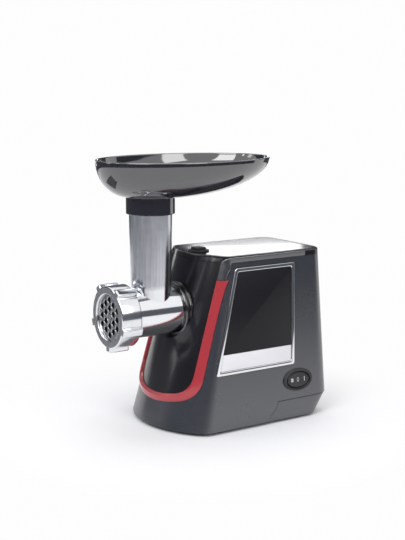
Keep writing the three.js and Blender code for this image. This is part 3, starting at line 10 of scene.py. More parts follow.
import bpy
from mathutils import Matrix, Vector
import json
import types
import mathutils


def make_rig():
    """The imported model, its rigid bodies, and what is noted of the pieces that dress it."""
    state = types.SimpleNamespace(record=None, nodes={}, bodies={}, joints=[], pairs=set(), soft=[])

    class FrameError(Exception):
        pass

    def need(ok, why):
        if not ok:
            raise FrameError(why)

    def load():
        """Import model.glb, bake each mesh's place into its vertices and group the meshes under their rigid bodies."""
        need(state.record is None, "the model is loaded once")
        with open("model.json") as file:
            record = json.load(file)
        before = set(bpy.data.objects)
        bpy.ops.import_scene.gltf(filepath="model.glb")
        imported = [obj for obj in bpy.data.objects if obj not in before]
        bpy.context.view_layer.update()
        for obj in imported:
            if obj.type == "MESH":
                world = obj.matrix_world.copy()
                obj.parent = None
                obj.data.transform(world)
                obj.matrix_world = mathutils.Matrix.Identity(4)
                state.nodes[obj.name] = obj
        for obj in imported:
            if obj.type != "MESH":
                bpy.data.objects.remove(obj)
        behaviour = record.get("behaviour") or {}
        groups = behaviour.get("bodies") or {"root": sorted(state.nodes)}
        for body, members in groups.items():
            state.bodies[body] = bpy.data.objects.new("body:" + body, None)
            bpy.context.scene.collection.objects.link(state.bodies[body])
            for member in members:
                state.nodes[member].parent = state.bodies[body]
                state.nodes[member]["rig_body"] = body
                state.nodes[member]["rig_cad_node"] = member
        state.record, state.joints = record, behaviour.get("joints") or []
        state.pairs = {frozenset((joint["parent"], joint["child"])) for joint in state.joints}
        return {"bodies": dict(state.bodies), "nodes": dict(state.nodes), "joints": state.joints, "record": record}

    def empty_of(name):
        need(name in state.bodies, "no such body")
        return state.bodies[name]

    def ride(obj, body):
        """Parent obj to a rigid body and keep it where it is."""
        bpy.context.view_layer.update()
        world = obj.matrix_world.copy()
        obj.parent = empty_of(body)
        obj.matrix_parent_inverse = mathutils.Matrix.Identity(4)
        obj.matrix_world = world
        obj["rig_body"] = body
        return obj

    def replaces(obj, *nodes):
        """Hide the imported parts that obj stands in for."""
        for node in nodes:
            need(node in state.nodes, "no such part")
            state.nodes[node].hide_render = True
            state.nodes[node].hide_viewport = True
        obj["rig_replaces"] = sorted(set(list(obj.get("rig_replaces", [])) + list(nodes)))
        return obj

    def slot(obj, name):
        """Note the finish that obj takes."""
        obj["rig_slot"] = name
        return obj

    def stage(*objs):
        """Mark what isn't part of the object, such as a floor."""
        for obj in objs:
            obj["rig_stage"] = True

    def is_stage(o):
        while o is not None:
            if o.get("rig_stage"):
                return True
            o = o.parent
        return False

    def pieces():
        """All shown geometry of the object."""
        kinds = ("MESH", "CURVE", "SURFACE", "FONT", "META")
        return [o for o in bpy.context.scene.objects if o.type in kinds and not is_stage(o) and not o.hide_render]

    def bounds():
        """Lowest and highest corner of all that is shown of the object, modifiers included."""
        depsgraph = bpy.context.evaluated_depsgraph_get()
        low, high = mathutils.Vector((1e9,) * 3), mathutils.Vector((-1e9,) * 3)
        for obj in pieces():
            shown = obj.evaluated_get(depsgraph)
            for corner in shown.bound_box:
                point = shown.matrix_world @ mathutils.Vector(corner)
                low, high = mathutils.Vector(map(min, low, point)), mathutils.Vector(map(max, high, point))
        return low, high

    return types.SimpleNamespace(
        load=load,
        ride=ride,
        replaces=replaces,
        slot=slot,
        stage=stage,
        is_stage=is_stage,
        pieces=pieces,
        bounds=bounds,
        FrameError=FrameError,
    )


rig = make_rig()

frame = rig.load()
cad_box = [list(corner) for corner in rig.bounds()]
scene = bpy.context.scene
print("CAD box in metres:", cad_box)

# %% [markdown]
# All lengths are metres. Most sizes of this object are easier to say in millimetres, so they are
# written as a number times MM, or given to a helper that takes millimetres. The barrel of the
# grinding head lies along Y. Both it and the feed tube are found from the joint on which the auger
# turns.

# %% Units and the two main axes
MM = 0.001
joints = {joint["name"]: joint for joint in frame["record"]["behaviour"]["joints"]}
barrel = Vector(joints["auger_spin"]["pos_m"])
mouth_line = Vector((0, barrel.y, 0))
print("barrel axis passes through", tuple(barrel))

# %% [markdown]
# The photograph was taken with a long lens, from the front right corner and a little above. The
# camera is placed where the outline of the body and the head agree with it, and it looks along a
# direction given by two angles.

# %% Camera
VIEW_AZIMUTH = radians(57.0)
VIEW_PITCH = radians(9.9)
CAMERA_PLACE = Vector((982.66, -573.38, 366.58)) * MM + mouth_line
LENS = 72.97
CLIP_START, CLIP_END = 0.05, 50


def aimed(name, data, place, direction):
    """A camera or lamp at a place, looking along a direction."""
    holder = bpy.data.objects.new(name, data)
    holder.location = place
    holder.rotation_euler = direction.to_track_quat("-Z", "Y").to_euler()
    scene.collection.objects.link(holder)
    return holder


level = Vector((-sin(VIEW_AZIMUTH), cos(VIEW_AZIMUTH), 0))
ahead = level * cos(VIEW_PITCH) - Vector((0, 0, sin(VIEW_PITCH)))
lens = bpy.data.cameras.new("camera")
lens.lens = LENS
lens.clip_start, lens.clip_end = CLIP_START, CLIP_END
scene.camera = aimed("camera", lens, CAMERA_PLACE, ahead)
scene.view_settings.view_transform = "Standard"
print("camera at", tuple(scene.camera.location))

# %% [markdown]
# Shader maths reads best as plain Python. A Wire wraps a node's output, so that `mask * 0.5 + 1`
# adds the Math nodes that it needs. A Nodes object holds one node tree: its `node` method adds a
# node, and each input is either given a value or linked to a Wire. A Finish is the Nodes object of
# one material.

# %% Shader helpers
class Wire:
    def __init__(self, nodes, socket):
        self.nodes = nodes
        self.socket = socket

    def math(self, operation, *values):
        return self.nodes.node("Math", self, *values, operation=operation)

    def __add__(self, other):
        return self.math("ADD", other)

    def __sub__(self, other):
        return self.math("SUBTRACT", other)

    def __mul__(self, other):
        return self.math("MULTIPLY", other)

    def __lt__(self, other):
        return self.math("LESS_THAN", other)

    def clamped(self):
        return self.math("MINIMUM", 1.0).math("MAXIMUM", 0.0)

    def ramp(self, start, span):
        """Climb from 0 at the start to 1 one span further on."""
        return ((self - start) * (1 / span)).clamped()


class Nodes:
    def __init__(self, tree, ending):
        self.tree = tree
        self.ending = ending

    def fill(self, node, values):
        """Give a node's inputs their values or links, by name or by number."""
        for key, value in values.items():
            socket = node.inputs[key.replace("_", " ") if isinstance(key, str) else key]
            if isinstance(value, Wire):
                self.tree.links.new(value.socket, socket)
            else:
                socket.default_value = value

    def node(self, kind, *values, out=0, operation=None, **named):
        made = self.tree.nodes.new("ShaderNode" + kind)
        if operation:
            made.operation = operation
        self.fill(made, dict(enumerate(values)))
        self.fill(made, named)
        return Wire(self, made.outputs[out])

    def given(self, name, **named):
        """Fill a node that the tree has from the start."""
        node = self.tree.nodes[name]
        self.fill(node, named)
        return Wire(self, node.outputs[0])

    def show(self, shader):
        """Make a shader the surface of the whole tree."""
        self.fill(self.tree.nodes[self.ending], {"Surface": shader})


class Finish(Nodes):
    def __init__(self, name):
        self.material = bpy.data.materials.new(name)
        self.material.use_nodes = True
        super().__init__(self.material.node_tree, "Material Output")

    def set(self, **named):
        return self.given("Principled BSDF", **named)

    def place(self, scale=(1, 1, 1)):
        """Object coordinates, in metres."""
        return self.node("Mapping", Vector=self.node("TexCoord", out="Object"), Scale=scale)

    def axis(self, letter):
        return self.node("SeparateXYZ", self.place(), out=letter)

    def noise(self, size, detail, where=None, roughness=0.5):
        where = where or self.place()
        return self.node("TexNoise", Vector=where, Scale=1 / size, Detail=detail, Roughness=roughness)

    def mix(self, factor, first, second):
        made = self.tree.nodes.new("ShaderNodeMix")
        made.data_type = "RGBA"
        self.fill(made, {0: factor, 6: first, 7: second})
        return Wire(self, made.outputs[2])

    def bump(self, height, depth, strength):
        return self.node("Bump", Strength=strength, Distance=depth, Height=height)


def rgb(colour, share=1.0):
    """A colour with its brightness taken times a share."""
    return (*(value * share for value in colour), 1)


def grey(value):
    return rgb((value, value, value))


print("shader helpers ready")

# %% [markdown]
# ## Studio
#
# The photograph shows the grinder on white, with only a soft shadow under it. The floor near the
# grinder is a real matt surface that takes the shadow. Further out it fades into the same white as
# the background. Only camera, mirror and see-through rays meet that white; the light that falls on
# the object comes from a dimmer world and from seven soft lamps.

# %% Adding objects
def deselect():
    if bpy.context.object and bpy.context.object.mode == "EDIT":
        bpy.ops.object.mode_set(mode="OBJECT")
    bpy.ops.object.select_all(action="DESELECT")


def added(add, name, **settings):
    """The object that an operator has just added, under its own name."""
    deselect()
    add(**settings)
    bpy.context.object.name = name
    return bpy.context.object


def flat_finish(name, colour, roughness=1.0):
    """A plain matt finish without any gloss."""
    finish = Finish(name)
    finish.set(Base_Color=rgb(colour), Roughness=roughness, Specular_IOR_Level=0.0)
    return finish


print("objects so far:", len(scene.objects))

# %% Floor and background
FLOOR_SIZE = 12.0
FLOOR_COLOUR = (0.90, 0.905, 0.93)
FADE_FROM, FADE_TO = 0.12, 0.26
WHITE = 0.985
AMBIENT = 0.55


def seen(nodes):
    """1 for camera, mirror and see-through rays, 0 for the rays that carry light."""
    kinds = ("Is Camera Ray", "Is Glossy Ray", "Is Transmission Ray")
    to_camera, mirrored, through = (nodes.node("LightPath", out=kind) for kind in kinds)
    return (to_camera + mirrored + through).clamped()


floor_finish = flat_finish("studio floor", FLOOR_COLOUR, 0.9)
radius = floor_finish.node("VectorMath", floor_finish.place(), out=1, operation="LENGTH")
fade = radius.ramp(FADE_FROM, FADE_TO - FADE_FROM)
glow = floor_finish.node("Emission", Color=grey(WHITE), Strength=1.0)
floor_finish.show(floor_finish.node("MixShader", fade * seen(floor_finish), floor_finish.set(), glow))

floor = added(bpy.ops.mesh.primitive_plane_add, "studio_floor", size=FLOOR_SIZE, location=(0, 0, 0))
floor.data.materials.append(floor_finish.material)
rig.stage(floor)

world = bpy.data.worlds.new("studio")
scene.world = world
world.use_nodes = True
sky = Nodes(world.node_tree, "World Output")
plain = sky.given("Background", Color=grey(1.0), Strength=AMBIENT)
bright = sky.node("Background", Color=grey(WHITE))
sky.show(sky.node("MixShader", seen(sky), plain, bright))
print("floor and background are white at", WHITE)

# %% [markdown]
# Polished metal needs something dark to mirror, as the room behind a photographer is dark. A dark
# wall stands round the camera's side, and it is higher on the left. A low grey card stands before
# the head on the left, where the flat front of the ring nut mirrors it.

# %% Lamps, wall and card
AIM = Vector((0, 0, 0.14))
WALL_RADIUS = 1.4
WALL_LEFT_HEIGHT, WALL_RIGHT_HEIGHT = 1.15, 0.64
WALL_STEPS = 48
WALL_FROM, WALL_TO = radians(-170), radians(166)
SLOPE_FROM, SLOPE_TO = radians(-90), radians(-30)
CARD_PLACE = (-0.21, -0.255, 0.062)
CARD_SIZE = (0.20, 0.124, 1)
CARD_TURN = (pi / 2, 0, radians(-57))

# Each lamp: its place, its width and height, and its power in watts.
LAMPS = {
    "key lamp": ((0.6, -1.3, 1.5), (1.0, 1.0), 14),
    "side lamp": ((2.1, 0.35, 1.4), (0.9, 1.2), 12),
    "top lamp": ((-0.2, 0.3, 1.9), (1.4, 1.4), 12),
    "left strip": ((-0.675, -1.12, 0.55), (0.24, 0.9), 1.5),
    "far left strip": ((-1.29, 0.06, 0.5), (0.11, 0.9), 0.8),
    "front strip": ((-0.23, -1.28, 0.78), (0.10, 0.35), 0.5),
    "back lamp": ((-1.06, 0.81, 0.42), (0.27, 0.14), 0.5),
}


def between(low, high, share):
    return low + (high - low) * share


def only_mirrored(thing, finish):
    """Show a studio piece to mirror rays alone, so that it neither shades nor lights the object."""
    thing.data.materials.append(finish.material)
    thing.visible_camera = False
    thing.visible_diffuse = False
    thing.visible_shadow = False
    thing.visible_transmission = False
    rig.stage(thing)


for name, (place, size, power) in LAMPS.items():
    lamp = bpy.data.lights.new(name, "AREA")
    lamp.shape = "RECTANGLE"
    lamp.size, lamp.size_y = size
    lamp.energy = power
    aimed(name, lamp, Vector(place), AIM - Vector(place)).visible_camera = False
wall_finish = flat_finish("dark studio wall", (0.09, 0.095, 0.11))
card_finish = flat_finish("grey card", (0.24, 0.245, 0.26))

add = bpy.ops.mesh.primitive_grid_add
wall = added(add, "studio_wall", x_subdivisions=WALL_STEPS, y_subdivisions=1, size=2)
for vertex in wall.data.vertices:
    angle = between(WALL_FROM, WALL_TO, (vertex.co.x + 1) / 2)
    share = min(1, max(0, (angle - SLOPE_FROM) / (SLOPE_TO - SLOPE_FROM)))
    height = between(WALL_LEFT_HEIGHT, WALL_RIGHT_HEIGHT, share) * (vertex.co.y + 1) / 2
    vertex.co = (WALL_RADIUS * sin(angle), -WALL_RADIUS * cos(angle), height)
only_mirrored(wall, wall_finish)

card = added(bpy.ops.mesh.primitive_plane_add, "low_card", size=1, location=CARD_PLACE)
card.scale = CARD_SIZE
card.rotation_euler = CARD_TURN
only_mirrored(card, card_finish)
print("lamps:", [lamp.name for lamp in bpy.data.lights])

# %% [markdown]
# ## Finishes
#
# Every finish is procedural. Mouldings get a very fine eroded grain, gloss mouldings a faint
# orange-peel waviness, polished castings long soft waves and small pits, and turned steel its rings.
# Patterns are laid in Object coordinates, in metres, so they stay put when a piece moves.

# %% Plastic finishes
def moulded(name, colour, roughness, grain=0.35 * MM, depth=0.012 * MM, spread=0.05, coat=0.0, ior=1.5):
    """A grain of some size and depth, and a roughness that wanders by a spread."""
    finish = Finish(name)
    fine = finish.noise(grain, 3.0)
    broad = finish.noise(40 * MM, 2.0)
    dust = finish.noise(3 * MM, 4.0, roughness=0.7)
    finish.set(
        Base_Color=finish.mix(broad, rgb(colour, 0.93), rgb(colour, 1.07)),
        Roughness=(dust - 0.5) * spread + (broad - 0.5) * spread + roughness,
        Normal=finish.bump(fine, depth, 0.6),
        Coat_Weight=coat,
        Coat_Roughness=0.06,
        IOR=ior,
    )
    return finish


SWITCH_COLOUR = (0.016, 0.016, 0.019)
charcoal = moulded("charcoal moulding", (0.014, 0.017, 0.027), 0.26, ior=2.25)
waves, tray_waves = (18 * MM, 0.02 * MM, 0.03), (26 * MM, 0.03 * MM, 0.03)
gloss_black = moulded("gloss black moulding", (0.010, 0.010, 0.013), 0.20, *waves, coat=0.2)
tray_black = moulded("gloss black tray", (0.014, 0.014, 0.020), 0.07, *tray_waves, coat=0.5, ior=2.1)
label_film = moulded("dark label film", (0.012, 0.012, 0.015), 0.3, ior=1.3)
matt_black = moulded("matt black moulding", (0.014, 0.014, 0.016), 0.42)
collar_black = moulded("gloss collar", (0.012, 0.012, 0.015), 0.14, coat=0.5, ior=1.9)
switch_black = moulded("switch black", SWITCH_COLOUR, 0.3, coat=0.2)
red = moulded("red moulding", (0.41, 0.034, 0.046), 0.24, 6 * MM, 0.015 * MM, 0.05, 0.4)
white = moulded("white panel", (0.80, 0.79, 0.83), 0.32, coat=0.2)
nylon = moulded("natural nylon", (0.66, 0.62, 0.52), 0.45)
rubber = moulded("rubber", (0.012, 0.012, 0.013), 0.75, 0.6 * MM, 0.05 * MM)
board_green = moulded("board lacquer", (0.02, 0.09, 0.035), 0.3, 1.2 * MM, 0.03 * MM, 0.08, 0.3)
carbon = moulded("carbon", (0.03, 0.03, 0.032), 0.6, 0.4 * MM, 0.04 * MM)
print("plastic finishes:", len(bpy.data.materials))


# %% Metal finishes
def metal(finish, mask, dark, colour, roughness, normal):
    """Bare metal that goes from a darker share of its colour to the full colour along a mask."""
    tone = finish.mix(mask, rgb(colour, dark), rgb(colour))
    finish.set(Base_Color=tone, Metallic=1.0, Roughness=roughness, Normal=normal)
    return finish


def cast_bump(finish, wave=14 * MM, depth=0.10 * MM):
    """Long soft waves and small pits."""
    pits = finish.noise(0.7 * MM, 3.0, roughness=0.7)
    return finish.bump(finish.noise(wave, 1.0) + pits * 0.02, depth, 0.5)


def cast_metal(name, colour, roughness, *bump):
    finish = Finish(name)
    smears = finish.noise(9 * MM, 3.0, finish.place(scale=(1, 1, 0.25)))
    worn = (smears - 0.5) * 0.10 + roughness
    return metal(finish, smears, 0.9, colour, worn, cast_bump(finish, *bump))


def rolled_metal(name, colour, roughness):
    """Streaks along Y and darker blotches."""
    finish = Finish(name)
    streaks = finish.noise(0.6 * MM, 3.0, finish.place(scale=(1, 0.05, 1)))
    blotch = finish.noise(7 * MM, 4.0, roughness=0.65)
    worn = (streaks - 0.5) * 0.15 + (blotch - 0.5) * 0.12 + roughness
    return metal(finish, blotch, 0.8, colour, worn, finish.bump(streaks, 0.02 * MM, 0.5))


def wound_copper(name, wire_pitch=0.7 * MM):
    finish = Finish(name)
    wires = (finish.axis("Y") * (2 * pi / wire_pitch)).math("SINE")
    blotch = finish.noise(5 * MM, 3.0)
    finish.set(
        Base_Color=finish.mix(blotch, rgb((0.36, 0.13, 0.05)), rgb((0.62, 0.27, 0.12))),
        Metallic=0.85,
        Roughness=(blotch - 0.5) * 0.1 + 0.34,
        Normal=finish.bump(wires, 0.12 * MM, 0.7),
    )
    return finish


HEAD_ROUGHNESS = 0.12
TUBE_FROM, TUBE_FADE = 26 * MM, 6 * MM


def head_metal():
    """The barrel is polished, the feed tube above it is left duller, with fine upright streaks."""
    finish = Finish("polished head")
    above = finish.axis("Z").ramp(barrel.z + TUBE_FROM, TUBE_FADE)
    streaks = finish.noise(2.2 * MM, 3.0, finish.place(scale=(1, 1, 0.04)))
    dull = finish.mix(streaks, rgb((0.50, 0.52, 0.57)), rgb((0.78, 0.79, 0.84)))
    finish.set(
        Base_Color=finish.mix(above, rgb((0.88, 0.89, 0.92)), dull),
        Metallic=1.0,
        Roughness=above * 0.08 + (streaks - 0.5) * 0.06 + HEAD_ROUGHNESS,
        Normal=cast_bump(finish),
    )
    return finish


PLATE_FRONT = -50.5
PLATE_ROUGHNESS = 0.22
RING_PITCH = 0.5 * MM


def plate_metal():
    """The plate's face is ground in fine rings; the walls of its holes are dark and rough."""
    finish = Finish("ground plate steel")
    offset = finish.node("VectorMath", finish.place(), tuple(barrel), operation="SUBTRACT")
    flat = finish.node("VectorMath", offset, (1, 0, 1), operation="MULTIPLY")
    reach = finish.node("VectorMath", flat, out=1, operation="LENGTH")
    rings = finish.node("CombineXYZ", X=reach * (1 / RING_PITCH))
    lines = finish.node("TexNoise", Vector=rings, Scale=1.0, Detail=3.0)
    inside = finish.axis("Y").ramp(barrel.y + (PLATE_FRONT + 0.5) * MM, 0.3 * MM)
    grain = finish.noise(3 * MM, 3.0)
    face = finish.mix(grain, rgb((0.56, 0.57, 0.59)), rgb((0.68, 0.69, 0.71)))
    finish.set(
        Base_Color=finish.mix(inside, face, rgb((0.07, 0.07, 0.075))),
        Metallic=1.0,
        Roughness=inside * 0.3 + (grain - 0.5) * 0.08 + PLATE_ROUGHNESS,
        Normal=finish.bump(lines, 0.02 * MM, 0.5),
    )
    return finish


aluminium = cast_metal("polished cast aluminium", (0.86, 0.87, 0.90), 0.14)
head_finish = head_metal()
chrome = cast_metal("chrome plating", (0.90, 0.91, 0.93), 0.06, 40 * MM, 0.04 * MM)
plate_steel = plate_metal()
steel = rolled_metal("bright steel", (0.58, 0.59, 0.61), 0.28)
dark_steel = rolled_metal("dark steel", (0.20, 0.205, 0.22), 0.42)
zinc = cast_metal("grey die casting", (0.44, 0.45, 0.47), 0.42, 5 * MM, 0.10 * MM)
copper = wound_copper("copper winding")
print("finishes in all:", len(bpy.data.materials))

# %% [markdown]
# The pieces that the frame already has at their right shape, mostly those inside the housing, keep
# their solids. They only get a finish, by assigning it to the material slots of the loaded objects.

# %% Finishes of the pieces that keep their solids
KEPT_SOLIDS = {
    board_green: ["control_board"],
    rubber: ["cord_gland"],
    aluminium: ["auger"],
    dark_steel: ["latch_lever", "motor_stator"],
    matt_black: ["switch_box", "base_plate", "motor_fan"],
    zinc: ["gear_case", "gear_plate", "motor_bracket"],
    nylon: ["auger_washer", "output_bush", "gear_output", "gear_middle", "gear_first"],
    copper: ["armature"],
    carbon: [],
    steel: ["knife", "button_spring", "output_coupling", "gear_pin_first", "gear_pin_middle"],
}
KEPT_SOLIDS[steel] += ["bearing_front", "bearing_rear"]
for end in ("left", "right"):
    KEPT_SOLIDS[copper].append("field_coil_" + end)
    KEPT_SOLIDS[carbon].append("brush_" + end)
    KEPT_SOLIDS[nylon].append("brush_holder_" + end)
    KEPT_SOLIDS[steel] += ["motor_bolt_" + end, "base_screw_front_" + end, "base_screw_rear_" + end]

for finish, names in KEPT_SOLIDS.items():
    for name in names:
        slots = frame["nodes"][name].data.materials
        slots.clear()
        slots.append(finish.material)
print(sum(len(names) for names in KEPT_SOLIDS.values()), "solids have their finish")

# %% [markdown]
# ## Modelling helpers
#
# New pieces start as a Blender primitive and are shaped with edit mode operators. Four starts cover
# nearly every piece of this object: a circle that is spun round an axis, a circle that is laid on an
# outline and extruded, a grid that is laid on a curved surface, and a plain block that is bevelled.
# Profiles of turned pieces and corners of blocks are given in millimetres.

# %% Operator helpers
FINE_ANGLE = radians(32)
TOUCH = 0.002 * MM


def focus(piece):
    deselect()
    piece.select_set(True)
    bpy.context.view_layer.objects.active = piece


def edit(piece):
    """Open a piece in edit mode, with its whole mesh selected."""
    focus(piece)
    bpy.ops.object.mode_set(mode="EDIT")
    bpy.ops.mesh.select_all(action="SELECT")


def edited(piece):
    """Leave edit mode."""
    bpy.ops.object.mode_set(mode="OBJECT")
    return piece


def mend(piece):
    """Merge doubled vertices and turn all faces outwards."""
    edit(piece)
    bpy.ops.mesh.remove_doubles(threshold=TOUCH)
    bpy.ops.mesh.normals_make_consistent(inside=False)
    return edited(piece)


def close_holes(piece):
    edit(piece)
    bpy.ops.mesh.fill_holes(sides=0)
    return edited(piece)


def modify(piece, kind, **settings):
    focus(piece)
    modifier = piece.modifiers.new(kind.lower(), kind)
    for key, value in settings.items():
        setattr(modifier, key, value)
    bpy.ops.object.modifier_apply(modifier=modifier.name)
    return piece


def settle(piece):
    """Put a finished piece's place into its mesh, so that its object stands at the origin."""
    focus(piece)
    bpy.ops.object.transform_apply(location=True, rotation=True, scale=True)
    return piece


def combine(operation, piece, tools, keep=False):
    """Cut, join or intersect a piece with tools, which are deleted afterwards unless they are kept."""
    for tool in tools:
        modify(piece, "BOOLEAN", operation=operation, object=tool, solver="EXACT")
        if not keep:
            bpy.data.objects.remove(tool)
    return piece


def bored(piece, *tools, keep=False):
    return combine("DIFFERENCE", piece, tools, keep)


def merged(piece, *others):
    return combine("UNION", piece, others)


def common(piece, tool):
    return combine("INTERSECT", piece, [tool])


def rounded_edges(piece, width, segments):
    settings = {"limit_method": "ANGLE", "angle_limit": FINE_ANGLE}
    return modify(piece, "BEVEL", width=width, segments=segments, **settings)


def loop_of(points, name):
    """A circle primitive whose vertices are laid on closed points."""
    add = bpy.ops.mesh.primitive_circle_add
    ring = added(add, name, vertices=len(points), radius=1, fill_type="NOTHING")
    for vertex, point in zip(ring.data.vertices, points):
        vertex.co = point
    return ring


def turned(profile, centre, name, axis="Z", steps=96):
    """Spin a closed outline of (radius, height) pairs round an axis through centre."""
    up = Vector((0, 0, 1)) if axis == "Z" else Vector((0, 1, 0))
    out = Vector((1, 0, 0))
    points = [centre + out * (radius * MM) + up * (height * MM) for radius, height in profile]
    piece = loop_of(points, name)
    edit(piece)
    bpy.ops.mesh.spin(steps=steps, angle=2 * pi, center=centre, axis=up)
    return mend(edited(piece))


def rod(radius, low, high, centre, name, axis="Z", steps=32):
    return turned([(0, low), (radius, low), (radius, high), (0, high)], centre, name, axis, steps)


def prism(points, along, name):
    """Extrude a flat closed outline by a vector."""
    piece = loop_of(points, name)
    edit(piece)
    bpy.ops.mesh.edge_face_add()
    bpy.ops.mesh.extrude_region_move(TRANSFORM_OT_translate={"value": along})
    return mend(edited(piece))


def laid_grid(place, across, along, name):
    """Lay a grid primitive on a surface: place gives the point for two shares from 0 to 1."""
    add = bpy.ops.mesh.primitive_grid_add
    piece = added(add, name, x_subdivisions=across, y_subdivisions=along, size=2)
    for vertex in piece.data.vertices:
        vertex.co = place((vertex.co.x + 1) / 2, (vertex.co.y + 1) / 2)
    return mend(piece)


def skin(rings, name):
    """A tube through closed rings that all have the same number of points."""
    count, last = len(rings[0]), len(rings) - 1
    return laid_grid(lambda u, v: rings[round(v * last)][round(u * count) % count], count, last, name)


def block(low, high, name, start=mouth_line):
    """A plain block between two corners, measured from a start point."""
    low, high = (Vector([s + value * MM for s, value in zip(start, corner)]) for corner in (low, high))
    piece = added(bpy.ops.mesh.primitive_cube_add, name, size=1, location=(low + high) / 2)
    piece.scale = high - low
    return settle(piece)


def quarter(steps=6):
    """Sine and cosine along a quarter turn."""
    return [(sin(pi / 2 * i / steps), cos(pi / 2 * i / steps)) for i in range(steps + 1)]


def publish(piece, name, finish, slot, body="housing", angle=FINE_ANGLE):
    """Smooth and name a piece, give it its finish, and say what it rides on and replaces."""
    focus(piece)
    bpy.ops.object.shade_smooth_by_angle(angle=angle)
    piece.name = name + "_visual"
    piece.data.name = piece.name
    piece.data.materials.clear()
    piece.data.materials.append(finish.material)
    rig.ride(piece, body)
    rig.replaces(piece, name)
    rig.slot(piece, slot)
    print(f"{name}: {len(piece.data.polygons)} faces")


print("modelling helpers ready")

# %% [markdown]
# ## The body's surface
#
# The housing, its front, the band and the lid all lie on one surface: a block that narrows upwards,
# with rounded rear corners and a bowed front that leans back. One function gives that outline at any
# height, so all these pieces fit each other.

# %% Outline of the body
BODY_TOP = 183.5 * MM
BASE_HALF = 73 * MM
TOP_HALF = 53.5 * MM
FRONT_BASE = barrel.y - 10 * MM
FRONT_TOP = barrel.y + 46.5 * MM
BODY_REAR = barrel.y + 190 * MM
FRONT_ARC = 98 * MM
CORNER_FOOT = 20 * MM
CORNER_TOP = 6.5 * MM
REAR_CORNER = 18 * MM
WALL = 3 * MM
SEAM = 177 * MM
FOOT = 3.3 * MM
GAP = 0.25 * MM
ARC_STEPS = 30
CORNER_STEPS = 12
SIDE_STEPS = 24


def arc_centre(z):
    return between(FRONT_BASE, FRONT_TOP, z / BODY_TOP) + FRONT_ARC


def corner_radius(z):
    return between(CORNER_FOOT, CORNER_TOP, z / BODY_TOP)


def front_corner(z):
    """Centre of the front corner's rounding, and the angle at which the bow meets it."""
    x = between(BASE_HALF, TOP_HALF, z / BODY_TOP) - corner_radius(z)
    y = arc_centre(z) - sqrt((FRONT_ARC - corner_radius(z)) ** 2 - x**2)
    return x, y, atan2(x, arc_centre(z) - y)


def body_outline(z, inset=0.0, rear=BODY_REAR):
    corner_x, corner_y, sweep = front_corner(z)
    half = corner_x + corner_radius(z) - inset
    rear_round = REAR_CORNER - inset
    rear_y = rear - REAR_CORNER
    right = []

    def bend(x, y, radius, start, end, steps):
        for i in range(steps + 1):
            angle = between(start, end, i / steps)
            right.append(Vector((x + radius * sin(angle), y - radius * cos(angle), z)))

    bend(0, arc_centre(z), FRONT_ARC - inset, 0, sweep, ARC_STEPS)
    bend(corner_x, corner_y, corner_radius(z) - inset, sweep, pi / 2, CORNER_STEPS)
    for i in range(1, SIDE_STEPS):
        right.append(Vector((half, between(corner_y, rear_y, i / SIDE_STEPS), z)))
    bend(half - rear_round, rear_y, rear_round, pi / 2, pi, CORNER_STEPS)
    left = [Vector((-p.x, p.y, p.z)) for p in reversed(right) if p.x > TOUCH]
    return right + left


def body_skin(name, low=FOOT, high=SEAM, levels=14, inset=0.0, rear=BODY_REAR):
    """The body's surface as an open tube between two heights, whose rear may start further in."""
    rings = []
    for share in (i / levels for i in range(levels + 1)):
        rings.append(body_outline(between(low, high, share), inset, between(rear, BODY_REAR, share)))
    return skin(rings, name)


def walled(piece):
    """Give an open skin the housing's wall, inwards from the surface."""
    return modify(piece, "SOLIDIFY", thickness=WALL, offset=-1, use_even_offset=True)


print("points round the body:", len(body_outline(0.1)))

# %% [markdown]
# Band and rims are drawn on the same surface. It is unrolled for them: one coordinate runs back along
# the body and is 0 where the front corner ends, the other one is the height.

# %% Places on the surface
def corner_length(z):
    return corner_radius(z) * (pi / 2 - front_corner(z)[2])


def on_body(along, z, side):
    """Point and outward normal on the right side, or on the left one where side is -1."""
    x, y, sweep = front_corner(z)
    radius, angle = corner_radius(z), pi / 2
    if along >= 0:
        y += along
    elif along > -corner_length(z):
        angle += along / radius
    else:
        angle = sweep + (along + corner_length(z)) / FRONT_ARC
        x, y, radius = 0, arc_centre(z), FRONT_ARC
    normal = Vector((side * sin(angle), -cos(angle), 0))
    return Vector((side * x, y, z)) + normal * radius, normal


def unrolled(x, z):
    """The coordinate along the body for a place that is seen from the front."""
    corner_x, _, sweep = front_corner(z)
    if x > FRONT_ARC * sin(sweep):
        return corner_radius(z) * (asin(min(1, (x - corner_x) / corner_radius(z))) - pi / 2)
    return -corner_length(z) - FRONT_ARC * (sweep - asin(x / FRONT_ARC))


CORNER_END = 0.999


def on_front(x, z):
    """Point and outward normal for a place that is seen from the front.

    A place past the body's side keeps its x, and takes the depth of the corner's end.
    """
    corner_x, corner_y, sweep = front_corner(z)
    bow = arc_centre(z)
    if abs(x) <= FRONT_ARC * sin(sweep):
        y = bow - sqrt(FRONT_ARC**2 - x**2)
        normal = Vector((x, y - bow, 0))
    else:
        radius = corner_radius(z)
        over = min(abs(x) - corner_x, radius * CORNER_END)
        y = corner_y - sqrt(radius**2 - over**2)
        normal = Vector((over * (1 if x > 0 else -1), y - corner_y, 0))
    return Vector((x, y, z)), normal.normalized()


print("corner at the foot, in metres:", corner_length(FOOT))

# %% [markdown]
# The red band is a narrow bead in a U. It is swept: two edges are laid on the surface, and between
# them runs a cross-section that stands square to the surface.

# %% Band
# Half the width at the foot, the foot's height and half the width at the top.
BAND = {"inner": (50, 37, 48), "outer": (59, 29, 55.3)}
BAND_TOP = 159.5 * MM
BAND_SAG = 4 * MM
FOOT_SHARE, BOW_SHARE, SHOULDER_SHARE = 0.65, 1.5, 1.4
BEAD_INNER, BEAD_OUTER = 4.2 * MM, 1.0 * MM
BEAD_DEPTH = 2.7 * MM
CROWN_POWER, CROWN_FALL = 6, 0.45


